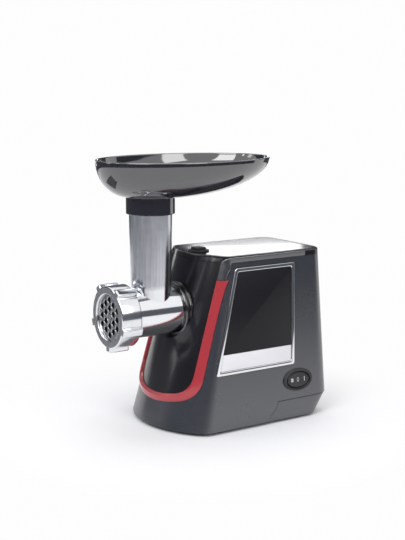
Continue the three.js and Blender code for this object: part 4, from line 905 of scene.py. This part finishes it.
def quadratic(start, control, end, steps):
    """Points of a bend after its start."""
    for i in range(1, steps + 1):
        t = i / steps
        yield start * (1 - t) ** 2 + control * 2 * t * (1 - t) + end * t**2


def line(start, end, steps):
    """Points of a straight run after its start."""
    return [start.lerp(end, i / steps) for i in range(1, steps + 1)]


def band_edge(side, steps=28):
    """One edge of the band from the middle of its foot to the top of its right arm, as (x, z)."""
    half, bottom, top_half = (value * MM for value in BAND[side])
    foot = half * FOOT_SHARE
    foot_z = bottom + BAND_SAG * (foot / (BAND["outer"][0] * MM)) * BOW_SHARE
    slope = (top_half - half) / (BAND_TOP - bottom)
    shoulder = bottom + (half - foot) * SHOULDER_SHARE
    knee = foot_z + 2 * (foot_z - bottom) * (half - foot) / foot
    on_arm = lambda z: Vector((half + slope * (z - shoulder), z))
    middle, heel = Vector((0, bottom)), Vector((foot, foot_z))
    points = [middle, *quadratic(middle, Vector((foot / 2, bottom)), heel, steps)]
    points += quadratic(heel, on_arm(knee), on_arm(shoulder), steps)
    return points + line(on_arm(shoulder), on_arm(BAND_TOP), 2 * steps)


def bead_section(inner=BEAD_INNER, outer=BEAD_OUTER, grow=0.0, depth=BEAD_DEPTH, steps=12):
    """Closed cross-section: (share across the bead, height above the surface)."""
    points = [(0, -depth)]
    for share in (i / steps for i in range(steps + 1)):
        crown = 1 - abs(2 * share - 1) ** CROWN_POWER * CROWN_FALL
        points.append((share, between(inner, outer, share) * crown + grow))
    return points + [(1, -depth)]


def swept(edges, surface, section, name):
    """Run a cross-section between pairs of edge points on a surface that gives (point, normal)."""
    count, last = len(section), len(edges) - 1

    def place(u, v):
        share, height = section[round(v * count) % count]
        near, far = edges[round(u * last)]
        spot = near.lerp(far, share)
        point, normal = surface(spot.x, spot.y)
        return point + normal * height

    return close_holes(laid_grid(place, last, count, name))


def band_edges(grow=0.0):
    """Pairs of points across the band, from the top of its left arm round to the right one."""
    right = list(zip(band_edge("inner"), band_edge("outer")))
    left = [(Vector((-a.x, a.y)), Vector((-b.x, b.y))) for a, b in reversed(right[1:])]
    edges = []
    for a, b in left + right:
        reach = (b - a).normalized() * grow
        edges.append((a - reach, b + reach))
    return edges


CUT_HEIGHT = 3 * WALL
band = swept(band_edges(), on_front, bead_section(), "band")
band_cut_section = bead_section(CUT_HEIGHT, CUT_HEIGHT, GAP, CUT_HEIGHT)
band_cut = swept(band_edges(GAP), on_front, band_cut_section, "band cut")
publish(band, "band", red, "red_plastic")

# %% [markdown]
# The dark rim goes on where the red band ends, up the front corner and back along the lid.

# %% Rims
RIM_TOP = 182.6 * MM
RIM_FOOT = SEAM + 0.3 * MM
RIM_REAR = barrel.y + 162 * MM
RIM_START = BAND_TOP + 0.3 * MM
RIM_INNER_TURN, RIM_OUTER_TURN = 8 * MM, 2.5 * MM
SIDES = {"right": 1, "left": -1}


def rim_edge(side, level, radius, shift, grow, steps=12):
    """Up from the band, round a corner and back: points of the unrolled surface."""
    half, bottom, top_half = BAND[side]
    slope = (top_half - half) / (BAND_TOP / MM - bottom)
    low, turn = RIM_START - grow, level - radius

    def up(z):
        return unrolled(top_half * MM + shift + slope * (z - RIM_START), z)

    points = [Vector((up(z), z)) for z in (between(low, turn, i / steps) for i in range(steps))]
    start, end = Vector((up(turn), turn)), Vector((up(level) + radius, level))
    points += [start, *quadratic(start, Vector((up(level), level)), end, steps)]
    back = RIM_REAR + grow - front_corner(level)[1]
    return points + line(end, Vector((back, level)), 3 * steps)


def rim(end, section, name, grow=0.0):
    near = rim_edge("inner", RIM_TOP + grow, RIM_INNER_TURN, -grow, grow)
    far = rim_edge("outer", RIM_FOOT - grow, RIM_OUTER_TURN, grow, grow)
    surface = lambda along, z: on_body(along, z, SIDES[end])
    return swept(list(zip(near, far)), surface, section, f"{name} {end}")


rim_section = bead_section(2.2 * MM, 1.2 * MM)
rim_cut_section = bead_section(CUT_HEIGHT, CUT_HEIGHT, GAP, 2 * BEAD_DEPTH)
rim_cuts = [rim(end, rim_cut_section, "rim cut", GAP) for end in SIDES]
for end in SIDES:
    publish(rim(end, rim_section, "rim"), "rim_" + end, charcoal, "housing_plastic")

# %% [markdown]
# ## Housing
#
# The shell is the body's surface with a wall behind it. The front opening, the groove of the band,
# the label's window and the switch's hole are cut out of it, and so is the skirt's room at the rear.

# %% Places on the right side
SIDE_TILT = atan2(BASE_HALF - TOP_HALF, BODY_TOP)
side_axes = (
    Vector((0, 1, 0)),
    Vector((-sin(SIDE_TILT), 0, cos(SIDE_TILT))),
    Vector((cos(SIDE_TILT), 0, sin(SIDE_TILT))),
)
SIDE = Matrix.Translation(Vector((BASE_HALF, barrel.y, 0))) @ Matrix(side_axes).transposed().to_4x4()


def on_side(back, up, out):
    """Place on the right side: millimetres back from the barrel's mouth line, up the slope and out."""
    return SIDE @ Vector((back * MM, up * MM, out * MM))


def up_side(z):
    return z / cos(SIDE_TILT)


def side_slab(outline, low, high, name):
    """A slab on the right side's plane from a flat outline in millimetres."""
    points = [on_side(*spot, low) for spot in outline]
    return prism(points, on_side(0, 0, high) - on_side(0, 0, low), name)


def rounded_outline(corners, inset, radius, steps=8):
    """A convex outline moved inwards by an inset, with its corners rounded."""
    count = len(corners)
    sharp = []
    for i in range(count):
        a, b, c = (Vector(corners[(i + k) % count]) for k in (-1, 0, 1))
        before, after = (b - a).normalized(), (c - b).normalized()
        lean = before.x * after.y - before.y * after.x
        along = (1 - before.dot(after)) / lean
        sharp.append(b + Vector((-before.y, before.x)) * inset - before * inset * along)
    points = []
    for i, corner in enumerate(sharp):
        last, following = sharp[i - 1], sharp[(i + 1) % count]
        start = corner + (last - corner).normalized() * radius
        end = corner + (following - corner).normalized() * radius
        points += [start, *quadratic(start, corner, end, steps)]
    return points


SWITCH_BACK, SWITCH_UP = 144.2, up_side(43.4)


def oval(length, height, steps=72):
    angles = [2 * pi * i / steps for i in range(steps)]
    return [(SWITCH_BACK + length / 2 * cos(a), SWITCH_UP + height / 2 * sin(a)) for a in angles]


print("the right side leans inwards by", SIDE_TILT, "radians")

# %% Cutting tools of the housing
DEEP = 0.4
BEYOND = 20 * MM
FRONT_REACH = 24 * MM
SKIRT_TOP = 22.5 * MM
SKIRT_FRONT, SKIRT_FOOT = barrel.y + 117.5 * MM, barrel.y + 101.5 * MM
SKIRT_BACK = 175
SKIRT_REAR = barrel.y + SKIRT_BACK * MM
SKIRT_SEAM = 0.9 * MM
SKIRT_BENDS = 12


def inner_front(grow=0.0):
    """Prism of everything inside the band's inner edge, seen from the front."""
    edge = band_edge("inner")
    slope = (edge[-1].x - edge[-2].x) / (edge[-1].y - edge[-2].y)
    top = SEAM + BEYOND
    edge.append(Vector((edge[-1].x + slope * (top - BAND_TOP), top)))
    spots = []
    for i, spot in enumerate(edge):
        run = (edge[min(i + 1, len(edge) - 1)] - edge[max(i - 1, 0)]).normalized()
        spots.append(spot + (Vector((run.y, -run.x)) if i else Vector((0, -1))) * grow)
    left = [Vector((-spot.x, spot.y)) for spot in reversed(spots[1:])]
    points = [Vector((spot.x, FRONT_BASE - BEYOND, spot.y)) for spot in left + spots]
    return prism(points, Vector((0, 110 * MM, 0)), "inner front")


def across(edges, name):
    """A prism right across the body from an outline of (y, z) pairs."""
    return prism([Vector((-DEEP, y, z)) for y, z in edges], Vector((2 * DEEP, 0, 0)), name)


def front_zone():
    """Everything in front of a plane that leans back with the front."""
    lean = (FRONT_TOP - FRONT_BASE) / BODY_TOP
    low, high = -BEYOND, BODY_TOP + BEYOND
    start = FRONT_BASE + FRONT_REACH
    edges = [(-DEEP, low), (start + lean * low, low), (start + lean * high, high), (-DEEP, high)]
    return across(edges, "front zone")


def skirt_zone(grow=0.0):
    """The room of the rear skirt, with an S-curve as its front edge."""
    edges = [(DEEP, SKIRT_TOP + grow), (DEEP, -DEEP), (SKIRT_FOOT - grow, -DEEP)]
    for share in (k / SKIRT_BENDS for k in range(SKIRT_BENDS + 1)):
        bend = share * share * (3 - 2 * share)
        edges.append((between(SKIRT_FOOT, SKIRT_FRONT, bend) - grow, (SKIRT_TOP + grow) * share))
    return across(edges, "skirt zone")


print("cutting tools ready")

# %% Housing shell
LABEL = [(38.5, 61), (140.7, 61), (147.9, 171), (70.2, 171)]
LABEL_ROUND = 3
LABEL_RECESS = 1.6
PLAY = 0.3
BEZEL_BODY = (35.2, 22.2)
INLET = Vector((-36 * MM, BODY_REAR - 8 * MM, 36 * MM))

label_corners = [(back, up_side(z)) for back, z in LABEL]
window_outline = rounded_outline(label_corners, -PLAY, LABEL_ROUND + PLAY)
shell = walled(body_skin("housing_shell"))
window = side_slab(window_outline, -12, 12, "window")
switch_hole = side_slab(oval(*(size + 2 * PLAY for size in BEZEL_BODY)), -20, 12, "switch hole")
front_tool = common(inner_front(GAP), front_zone())
label_floor = side_slab(window_outline, -WALL / MM, -LABEL_RECESS, "label floor")
inlet_hole = rod(5.3, 0, 16, INLET, "inlet hole", "Y", 48)
bored(shell, front_tool, window, switch_hole, inlet_hole, skirt_zone(SKIRT_SEAM))
bored(shell, band_cut, *rim_cuts, keep=True)
merged(shell, label_floor)
publish(shell, "housing_shell", charcoal, "housing_plastic")

# %% Rear skirt
SKIRT_LIFT = 3 * MM
SKIRT_INSET = 0.8 * MM
TAB_SPREAD, TAB_HALF = 30, 6
TAB_LOW, TAB_HIGH = 6.3, 12.3

skirt = walled(body_skin("rear_skirt", SKIRT_LIFT, SKIRT_TOP, 6, SKIRT_INSET, SKIRT_REAR))
common(skirt, skirt_zone())
for middle in (-TAB_SPREAD, TAB_SPREAD):
    low = (middle - TAB_HALF, SKIRT_BACK - 19, TAB_LOW)
    merged(skirt, block(low, (middle + TAB_HALF, SKIRT_BACK + 1, TAB_HIGH), "tab"))
publish(skirt, "rear_skirt", charcoal, "housing_plastic")

# %% [markdown]
# The front cover is the part of the same surface that lies inside the band. It has a round pocket for
# the head's collar, and a ring behind that pocket.

# %% Front cover
POCKET_R, POCKET_FLOOR = 30, 34.3
BOSS_R, BOSS_BORE = 32.5, 27.9
BOSS_FRONT, BOSS_REAR = 12, 40

cover = walled(body_skin("front_cover"))
common(cover, common(inner_front(), front_zone()))
bored(cover, *rim_cuts, keep=True)
boss = [(BOSS_BORE, BOSS_FRONT), (BOSS_R, BOSS_FRONT), (BOSS_R, BOSS_REAR), (BOSS_BORE, BOSS_REAR)]
boss_ring = turned(boss, barrel, "boss", "Y")
common(boss_ring, close_holes(body_skin("body room", inset=0.02 * MM)))
merged(cover, boss_ring)
bored(cover, rod(POCKET_R, -60, POCKET_FLOOR, barrel, "pocket", "Y", 96))
publish(cover, "front_cover", gloss_black, "black_gloss")
for tool in (band_cut, *rim_cuts):
    bpy.data.objects.remove(tool)

# %% Lid
LID_EDGE = 3 * MM
LID_BORDER = 3 * MM
LID_RISE = 0.16 * MM
LID_GROOVE = 0.7 * MM
GUIDE_BACK = 59.5
NECK_R = 11.3

guide_spot = Vector((0, barrel.y + GUIDE_BACK * MM, 0))
edge_top = BODY_TOP - LID_RISE
lid_levels = [(RIM_FOOT, 0.0), (edge_top - LID_EDGE / 2 - 0.4 * MM, 0.0)]
lid_levels += [(edge_top - LID_EDGE / 2 * (1 - up), LID_EDGE * (1 - out)) for up, out in quarter()[1:]]
for share in (0.8, 1):
    lid_levels.append((between(edge_top, BODY_TOP, share), LID_EDGE + LID_BORDER * share))
lid = skin([body_outline(z, inset) for z, inset in lid_levels], "lid")
mend(close_holes(lid))
neck_hole = rod(NECK_R, 150, 200, guide_spot, "neck hole", "Z", 72)
bored(lid, *(rim(end, rim_cut_section, "lid groove", LID_GROOVE) for end in SIDES), neck_hole)
publish(lid, "lid", gloss_black, "black_gloss")

# %% [markdown]
# ## Label and switch on the right side
#
# The side is a flat plane that leans inwards. The label is a bright frame round a dark panel and a
# white strip, both left bare. The switch is an oval bezel round a rocker with three plain marks.

# %% Label
FRAME_WIDTH = 4
FRAME_PROUD = 0.7
FRAME_INNER_ROUND = 2.2
FRAME_LOW = -LABEL_RECESS + 0.3
OUTER_ROUND, OUTER_SHARE = 0.5, 0.16
INNER_ROUND, INNER_SHARE = 0.9, 0.20
PANEL_TOP = FRAME_LOW + 1.2
SPLIT = up_side(82.4)


def side_ring(outer, inner, profile, name):
    """A closed ring on the side's plane: profile gives (share from outer to inner, height)."""
    rings = []
    for share, height in profile:
        spots = [Vector(a).lerp(Vector(b), share) for a, b in zip(outer, inner)]
        rings.append([on_side(*spot, height) for spot in spots])
    return skin(rings + rings[:1], name)


frame_profile = [
    (0.0, FRAME_LOW),
    *((OUTER_SHARE * (1 - run), FRAME_PROUD - OUTER_ROUND * (1 - rise)) for rise, run in quarter()),
    *((1 - INNER_SHARE * (1 - rise), FRAME_PROUD - INNER_ROUND * (1 - run)) for rise, run in quarter()),
    (1.0, FRAME_LOW),
]
label_outer = rounded_outline(label_corners, 0, LABEL_ROUND)
label_inner = rounded_outline(label_corners, FRAME_WIDTH, FRAME_INNER_ROUND)
label_frame = side_ring(label_outer, label_inner, frame_profile, "label_frame")
publish(label_frame, "label_frame", chrome, "chrome_trim")


def panel(low, high, name, finish, slot):
    outline = rounded_outline(label_corners, FRAME_WIDTH + PLAY, FRAME_INNER_ROUND)
    sheet = side_slab(outline, FRAME_LOW, PANEL_TOP, name)
    zone = [(0, low), (200, low), (200, high), (0, high)]
    common(sheet, side_slab(zone, -10, 10, "zone"))
    publish(rounded_edges(sheet, 0.15 * MM, 2), name, finish, slot)


panel(SPLIT, 400, "label_plate", label_film, "black_gloss")
panel(0, SPLIT - PLAY, "label_strip", white, "white_plastic")

# %% Switch bezel
BEZEL = (39.5, 24.7)
BEZEL_HOLE = (31.2, 18.2)
BEZEL_EDGE = 0.3
BEZEL_DEPTH = -7.5
SWITCH_PROUD = 1.6

bezel_profile = [
    (0.0, BEZEL_EDGE),
    *((0.30 * (1 - run), between(BEZEL_EDGE, SWITCH_PROUD, rise)) for rise, run in quarter()),
    *((0.80, SWITCH_PROUD), (0.93, SWITCH_PROUD - 0.25), (1.0, SWITCH_PROUD - 0.9)),
    *((1.0, BEZEL_DEPTH), (0.48, BEZEL_DEPTH), (0.48, BEZEL_EDGE)),
]
bezel = side_ring(oval(*BEZEL), oval(*BEZEL_HOLE), bezel_profile, "switch_bezel")
publish(bezel, "switch_bezel", switch_black, "black_matte")

# %% Rocker
ROCKER_LONG, ROCKER_WIDE = 29.2, 17
ROCKER_DIP = 0.8
ROCKER_ROUND = 0.9
ROCKER_FLAT = 0.93
ROCKER_SKIRT, ROCKER_DEPTH = 3.0, 5.2
PIN_R, PIN_HALF, PIN_DEPTH = 1.4, 10.5, -3.2


def rocker_ring(reach, drop, dip=0):
    """One ring of the rocker's skin, which dips towards the rocker's middle."""
    spots = oval(ROCKER_LONG * reach, ROCKER_WIDE * reach)
    dips = [dip * (1 - abs(x - SWITCH_BACK) / (ROCKER_LONG / 2)) for x, _ in spots]
    return [on_side(x, y, SWITCH_PROUD - sunk - drop) for (x, y), sunk in zip(spots, dips)]


# From the middle of the top over the rounded rim and down to the middle of the underside.
rocker_rings = [rocker_ring(i / 10 * ROCKER_FLAT, 0, ROCKER_DIP) for i in range(11)]
for rise, run in quarter(4)[1:]:
    reach, drop = between(ROCKER_FLAT, 1, rise), ROCKER_ROUND * (1 - run)
    rocker_rings.append(rocker_ring(reach, drop, ROCKER_DIP))
for reach, drop in ((1, ROCKER_SKIRT), (1, ROCKER_DEPTH), (0.55, ROCKER_DEPTH), (0, ROCKER_DEPTH)):
    rocker_rings.append(rocker_ring(reach, drop))
rocker = skin(rocker_rings, "switch_rocker")

pin = rod(PIN_R, -PIN_HALF, PIN_HALF, Vector(), "pin")
pin_place = Matrix.Translation(Vector((SWITCH_BACK, SWITCH_UP, PIN_DEPTH)) * MM)
pin.matrix_world = SIDE @ pin_place @ Matrix.Rotation(pi / 2, 4, "X")
merged(rocker, settle(pin))


def marked_rocker():
    """Three pale marks, painted by distances in millimetres in the plane of the side."""
    finish = moulded("switch rocker", SWITCH_COLOUR, 0.26, coat=0.2)
    middle = on_side(SWITCH_BACK, SWITCH_UP, 0)
    offset = finish.node("VectorMath", finish.place(), tuple(middle), operation="SUBTRACT")

    def reach(axis):
        dot = finish.node("VectorMath", offset, tuple(axis), out=1, operation="DOT_PRODUCT")
        return dot * (1 / MM)

    def inside(value, middle, half):
        return (value - middle).math("ABSOLUTE") < half

    def bar(x, half_x, half_y):
        return inside(along, x, half_x) * inside(up, 0, half_y)

    along, up = reach(side_axes[0]), reach(side_axes[1])
    x, y = along * (1 / 1.35), up * (1 / 2.3)
    nought = inside((x * x + y * y).math("SQRT"), 0.84, 0.16)
    ink = (bar(-8.2, 1.5, 2.0) + nought + bar(8.4, 0.42, 2.4)).clamped()
    finish.set(Base_Color=finish.mix(ink, rgb(SWITCH_COLOUR), rgb((0.55, 0.55, 0.58))))
    return finish


publish(rocker, "switch_rocker", marked_rocker(), "black_gloss", "rocker")

# %% [markdown]
# ## Release button
#
# A square button stands in a round guide on the lid. The guide has a square hole.

# %% Guide and button
GUIDE_R, GUIDE_TOP = 11.6, 185.2
BUTTON_HALF = 6.2
BUTTON_TOP, BUTTON_FOOT = 188.2, 178.5
HOLLOW_HALF = 6.8

guide_profile = [
    *((0, 171.2), (11, 171.2), (11, 183.8), (GUIDE_R, 183.8), (GUIDE_R, GUIDE_TOP - 0.5)),
    *((GUIDE_R - 0.15, GUIDE_TOP - 0.15), (GUIDE_R - 0.5, GUIDE_TOP), (0, GUIDE_TOP)),
]
guide = turned(guide_profile, guide_spot, "button_guide", "Z", 72)


def square_at(half_x, half_y, low, high, name):
    return block((-half_x, -half_y, low), (half_x, half_y, high), name, guide_spot)


wide_hollow = square_at(8, HOLLOW_HALF, 173, 180, "wide hollow")
hollow = square_at(HOLLOW_HALF, HOLLOW_HALF, 173, 190, "hollow")
bored(guide, wide_hollow, hollow, rod(3, 165, 176, guide_spot, "stem hole"))
publish(guide, "button_guide", matt_black, "black_matte")

button = square_at(BUTTON_HALF, BUTTON_HALF, BUTTON_FOOT, BUTTON_TOP, "release_button")
rounded_edges(button, 1.1 * MM, 5)
flange = square_at(7.4, BUTTON_HALF, BUTTON_FOOT, BUTTON_FOOT + 1.2, "flange")
merged(button, flange, rod(2.4, 161.3, BUTTON_FOOT + 0.6, guide_spot, "stem"))
publish(button, "release_button", matt_black, "black_matte", "button")

# %% [markdown]
# ## Collar and grinding head
#
# These pieces are turned round the barrel's axis. Heights in their profiles are distances along Y
# from the barrel's mouth line, so they are the same numbers on every piece.

# %% Head socket
def on_barrel(profile, name, steps=128):
    return turned(profile, barrel, name, "Y", steps)


def arc(radius_at, along_at, radius, start, end, steps=5):
    """Points of a rounding in a profile: centre, radius and the two angles in degrees."""
    for i in range(steps + 1):
        angle = radians(between(start, end, i / steps))
        yield radius_at + radius * cos(angle), along_at + radius * sin(angle)


socket_profile = [
    *((24.3, 27), (24.8, 26.5)),
    *arc(28.5, 27.4, 0.9, -90, 0),
    *arc(29.0, 28.9, 0.4, 0, 90, 3),
    *((28.2, 29.3), (28.2, 31.2)),
    *arc(29.0, 31.6, 0.4, -90, 0, 3),
    *((29.4, 34), (27.6, 34), (27.6, 53.3), (13.1, 53.3), (13.1, 50.3), (24.3, 50.3)),
]
EAR = [(44.7, 148.2), (52.8, 148.2), (52.8, 157), (46.2, 157)]
EAR_INNER, EAR_OUTER = 4.3 * MM, 6.9 * MM

socket = on_barrel(socket_profile, "head_socket")
for way in (-1, 1):
    points = [mouth_line + Vector((way * EAR_INNER, y * MM, z * MM)) for y, z in EAR]
    merged(socket, prism(points, Vector((way * (EAR_OUTER - EAR_INNER), 0, 0)), "ear"))
latch_slot = block((-4.6, 40, barrel.z / MM), (4.6, 47, 170), "slot")
pin_bore = block((-8, 47.9, 152.4), (8, 51.1, 155.6), "pin bore")
bored(socket, latch_slot, pin_bore)
publish(socket, "head_socket", collar_black, "black_matte")

# %% Head casting
BARREL_R = 25.3
TUBE_FOOT, TUBE_TOP_R, TUBE_TOP = 20.9, 22.9, 121.0
TUBE_BORE = 18.8
JOINT_ROUND = 1.8 * MM
ON_CURVE = 0.05

casting_profile = [
    *((0, -48), (28.6, -48), (29.2, -47.4), (29.2, -31)),
    *arc(26.9, -28.4, 1.6, 235, 180, 4),
    *((BARREL_R, 24.5), (24.8, 25), (24, 25), (24, 49.5), (23.5, 50), (0, 50)),
]
tube_wall = [(TUBE_FOOT, 0), (TUBE_TOP_R, TUBE_TOP - 0.5), (TUBE_TOP_R - 0.5, TUBE_TOP)]
tube_profile = [(0, 0), *tube_wall, (0, TUBE_TOP)]
casting = on_barrel(casting_profile, "head_casting")
merged(casting, turned(tube_profile, barrel, "feed", "Z", 128))


def soften_joint(piece, chosen, width, segments=5):
    """Round off the edges whose two ends both pass a test."""
    edit(piece)
    bpy.ops.mesh.select_mode(type="EDGE")
    bpy.ops.mesh.select_all(action="DESELECT")
    edited(piece)
    spots = [vertex.co for vertex in piece.data.vertices]
    for edge in piece.data.edges:
        edge.select = all(chosen(spots[i]) for i in edge.vertices)
    print("edges of the joint:", sum(edge.select for edge in piece.data.edges))
    bpy.ops.object.mode_set(mode="EDIT")
    bpy.ops.mesh.bevel(offset=width, segments=segments, affect="EDGES", clamp_overlap=True)
    bpy.ops.mesh.select_mode(type="VERT")
    edited(piece)


def on_joint(spot):
    """True on the curve where the tube's cone meets the barrel's cylinder."""
    x, y, height = (spot - barrel) / MM
    cone = Vector((x, y)).length
    wall = Vector((x, height)).length
    on_cone = abs(cone - between(TUBE_FOOT, TUBE_TOP_R, height / TUBE_TOP)) < ON_CURVE
    return on_cone and abs(wall - BARREL_R) < ON_CURVE and height > 0


soften_joint(casting, on_joint, JOINT_ROUND)

# %% Bores of the head casting
GROOVE_FRONT, GROOVE_REAR = 40.3, 46.6
GROOVE_FLOOR = 21
LATCH_HALF = 4.6

bore_profile = [
    *((0, -54), (27.3, -54), (27.3, -45.2), (24, -45.2), (24, -38.6), (22.3, -36)),
    *((22.3, 13.5), (8.9, 13.5), (8.9, 21.5), (15.5, 21.5), (15.5, 56), (0, 56)),
]
inside = on_barrel(bore_profile, "inside", 96)
feed_bore = rod(TUBE_BORE, 0, 130, barrel, "feed bore", "Z", 96)
bored(feed_bore, block((-50, 13.5, -30), (50, 60, 39), "rear room", barrel))
bored(casting, inside, feed_bore)

groove_profile = [(radius, GROOVE_FRONT) for radius in (GROOVE_FLOOR, 30)]
groove_profile += [(radius, GROOVE_REAR) for radius in (30, GROOVE_FLOOR)]
groove = on_barrel(groove_profile, "groove", 96)
spare = asin(LATCH_HALF / GROOVE_FLOOR)
sector = [barrel.copy()]
for angle in (-spare, pi / 8, pi / 4 + spare):
    sector.append(barrel + Vector((0.1 * sin(angle), 0, 0.1 * cos(angle))))
common(groove, prism(sector, Vector((0, 60 * MM, 0)), "sector"))
bored(casting, groove)
merged(casting, block((-1.9, -48, 25.2), (1.9, -45.4, 27.6), "key", barrel))
publish(casting, "head_casting", head_finish, "cast_aluminium", "head", radians(28))

# %% Grinding plate
PLATE_R, PLATE_THICK = 27, 5.0
PLATE_REAR = PLATE_FRONT + PLATE_THICK
HOLE_PITCH, HOLE_R, BEARING_R = 9.3, 3.3, 4.6
COUNTERSINK = 0.35

plate_rim = [(PLATE_R - 0.3, PLATE_FRONT), (PLATE_R, PLATE_FRONT + 0.3), (PLATE_R, PLATE_REAR)]
plate = on_barrel([(0, PLATE_FRONT), *plate_rim, (0, PLATE_REAR)], "grinding_plate")
for row in range(-2, 3):
    in_row = 5 - abs(row)
    for k in range(in_row):
        x, z = row * HOLE_PITCH * sqrt(3) / 2, (k - (in_row - 1) / 2) * HOLE_PITCH
        reach = BEARING_R if (row, z) == (0, 0) else HOLE_R
        sunk = [(reach + COUNTERSINK, -56), (reach + COUNTERSINK, PLATE_FRONT)]
        hole_profile = [(0, -56), *sunk, (reach, PLATE_FRONT + COUNTERSINK), (reach, -40), (0, -40)]
        bored(plate, turned(hole_profile, barrel + Vector((x, 0, z)) * MM, "hole", "Y", 32))
bored(plate, block((-2.2, -60, 24.6), (2.2, 0, 30), "notch", barrel))
publish(plate, "grinding_plate", plate_steel, "steel", "plate")

# %% Ring nut
NUT_FRONT, NUT_REAR = -51.3, -29.8
LUGS = 5
LUG_PHASE = radians(-54)

nut_profile = [
    (24.4, NUT_FRONT),
    *arc(25.9, NUT_FRONT, 1.5, 180, 270, 4),
    *arc(31.5, NUT_FRONT, 1.5, -90, 0, 4),
    *((33, NUT_REAR - 1), (32.4, NUT_REAR), (29.6, NUT_REAR), (29.6, -50.8), (24.4, -50.8)),
]
nut = on_barrel(nut_profile, "ring_nut")
for k in range(LUGS):
    lug = block((30.2, NUT_FRONT - 1.5, -4.5), (37.2, NUT_REAR, 4.5), "lug", Vector())
    rounded_edges(lug, 1.6 * MM, 5)
    turn = Matrix.Rotation(LUG_PHASE + k * 2 * pi / LUGS, 4, "Y")
    lug.matrix_world = Matrix.Translation(barrel) @ turn
    merged(nut, settle(lug))
publish(nut, "ring_nut", aluminium, "cast_aluminium", "nut", radians(30))

# %% [markdown]
# ## Tray
#
# The tray is a round sleeve that opens into a long oval bowl. Its rings run from the sleeve's foot up
# the outside, over the rounded rim and down the inside.

# %% Tray
TRAY_RIM, TRAY_FLOOR = 284.8, 246
TRAY_WIDE, TRAY_LONG, TRAY_NECK = 143, 198, 24
TRAY_CENTRE, TRAY_WALL = 41.6, 2.4
TRAY_SIDES, RIM_STEPS = 160, 8
SLEEVE_R, SLEEVE_BORE, SLEEVE_FOOT = 25.6, 23.2, 228.3
THROAT_R, THROAT_FOOT = 18.8, 244.3
SHARES = (0.06, 0.12, 0.2, 0.3, 0.4, 0.5, 0.6, 0.7, 0.78, 0.86, 0.92, 0.96, 0.985)


def bowl_ring(share, wall, level=None):
    """Half width, half length, height and centre of the bowl's ring, some way out from its neck."""
    wide = between(TRAY_NECK, TRAY_WIDE / 2, share) - wall
    long = between(TRAY_NECK, TRAY_LONG / 2, share) - wall
    if level is None:
        level = between(TRAY_FLOOR + wall, TRAY_RIM, 1 - sqrt(1 - share**2))
    return wide, long, level, TRAY_CENTRE * share


def tray_ring(wide, long, level, centre=0):
    angles = [2 * pi * i / TRAY_SIDES for i in range(TRAY_SIDES)]
    return [mouth_line + Vector((wide * cos(a), centre + long * sin(a), level)) * MM for a in angles]


half = TRAY_WALL / 2
sleeve = [(SLEEVE_R - 0.5, SLEEVE_FOOT)]
sleeve += [(SLEEVE_R, level) for level in (SLEEVE_FOOT + 0.5, 244, TRAY_FLOOR)]
throat = [(THROAT_R, TRAY_FLOOR + TRAY_WALL), (THROAT_R, THROAT_FOOT)]
throat += [(SLEEVE_BORE, THROAT_FOOT), (SLEEVE_BORE, SLEEVE_FOOT)]
rings = [(radius, radius, level) for radius, level in sleeve]
rings += [bowl_ring(share, 0) for share in SHARES]
for angle in (pi * i / RIM_STEPS for i in range(RIM_STEPS + 1)):
    rings.append(bowl_ring(1.0, half * (1 - cos(angle)), TRAY_RIM - half * (1 - sin(angle))))
rings += [bowl_ring(share, TRAY_WALL) for share in reversed(SHARES)]
rings += [(radius, radius, level) for radius, level in throat]
tray = skin([tray_ring(*ring) for ring in rings + rings[:1]], "tray")
publish(tray, "tray", tray_black, "black_gloss", "tray_body")

# %% Feet
FEET = {"front": (48, 24), "rear": (50, 158)}  # half the distance across, and the distance back
foot_profile = [(0, 0), *arc(8.0, 1.0, 1.0, -90, 0), (9, 2.7), (3, 2.7), (3, 6), (0, 6)]
for end, (x, y) in FEET.items():
    for side in ("left", "right"):
        name = f"foot_{end}_{side}"
        centre = mouth_line + Vector((SIDES[side] * x, y, 0)) * MM
        foot = turned(foot_profile, centre, name, "Z", 48)
        publish(foot, name, rubber, "rubber")

# %% [markdown]
# ## Finish
#
# The boxes of the CAD frame and of the finished pieces are written down.

# %% Sizes and finish
import json as _json

visual_box = [list(corner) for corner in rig.bounds()]
with open("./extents.json", "w") as out:
    _json.dump({"cad": cad_box, "visual": visual_box}, out)
print("visual box in metres:", visual_box)
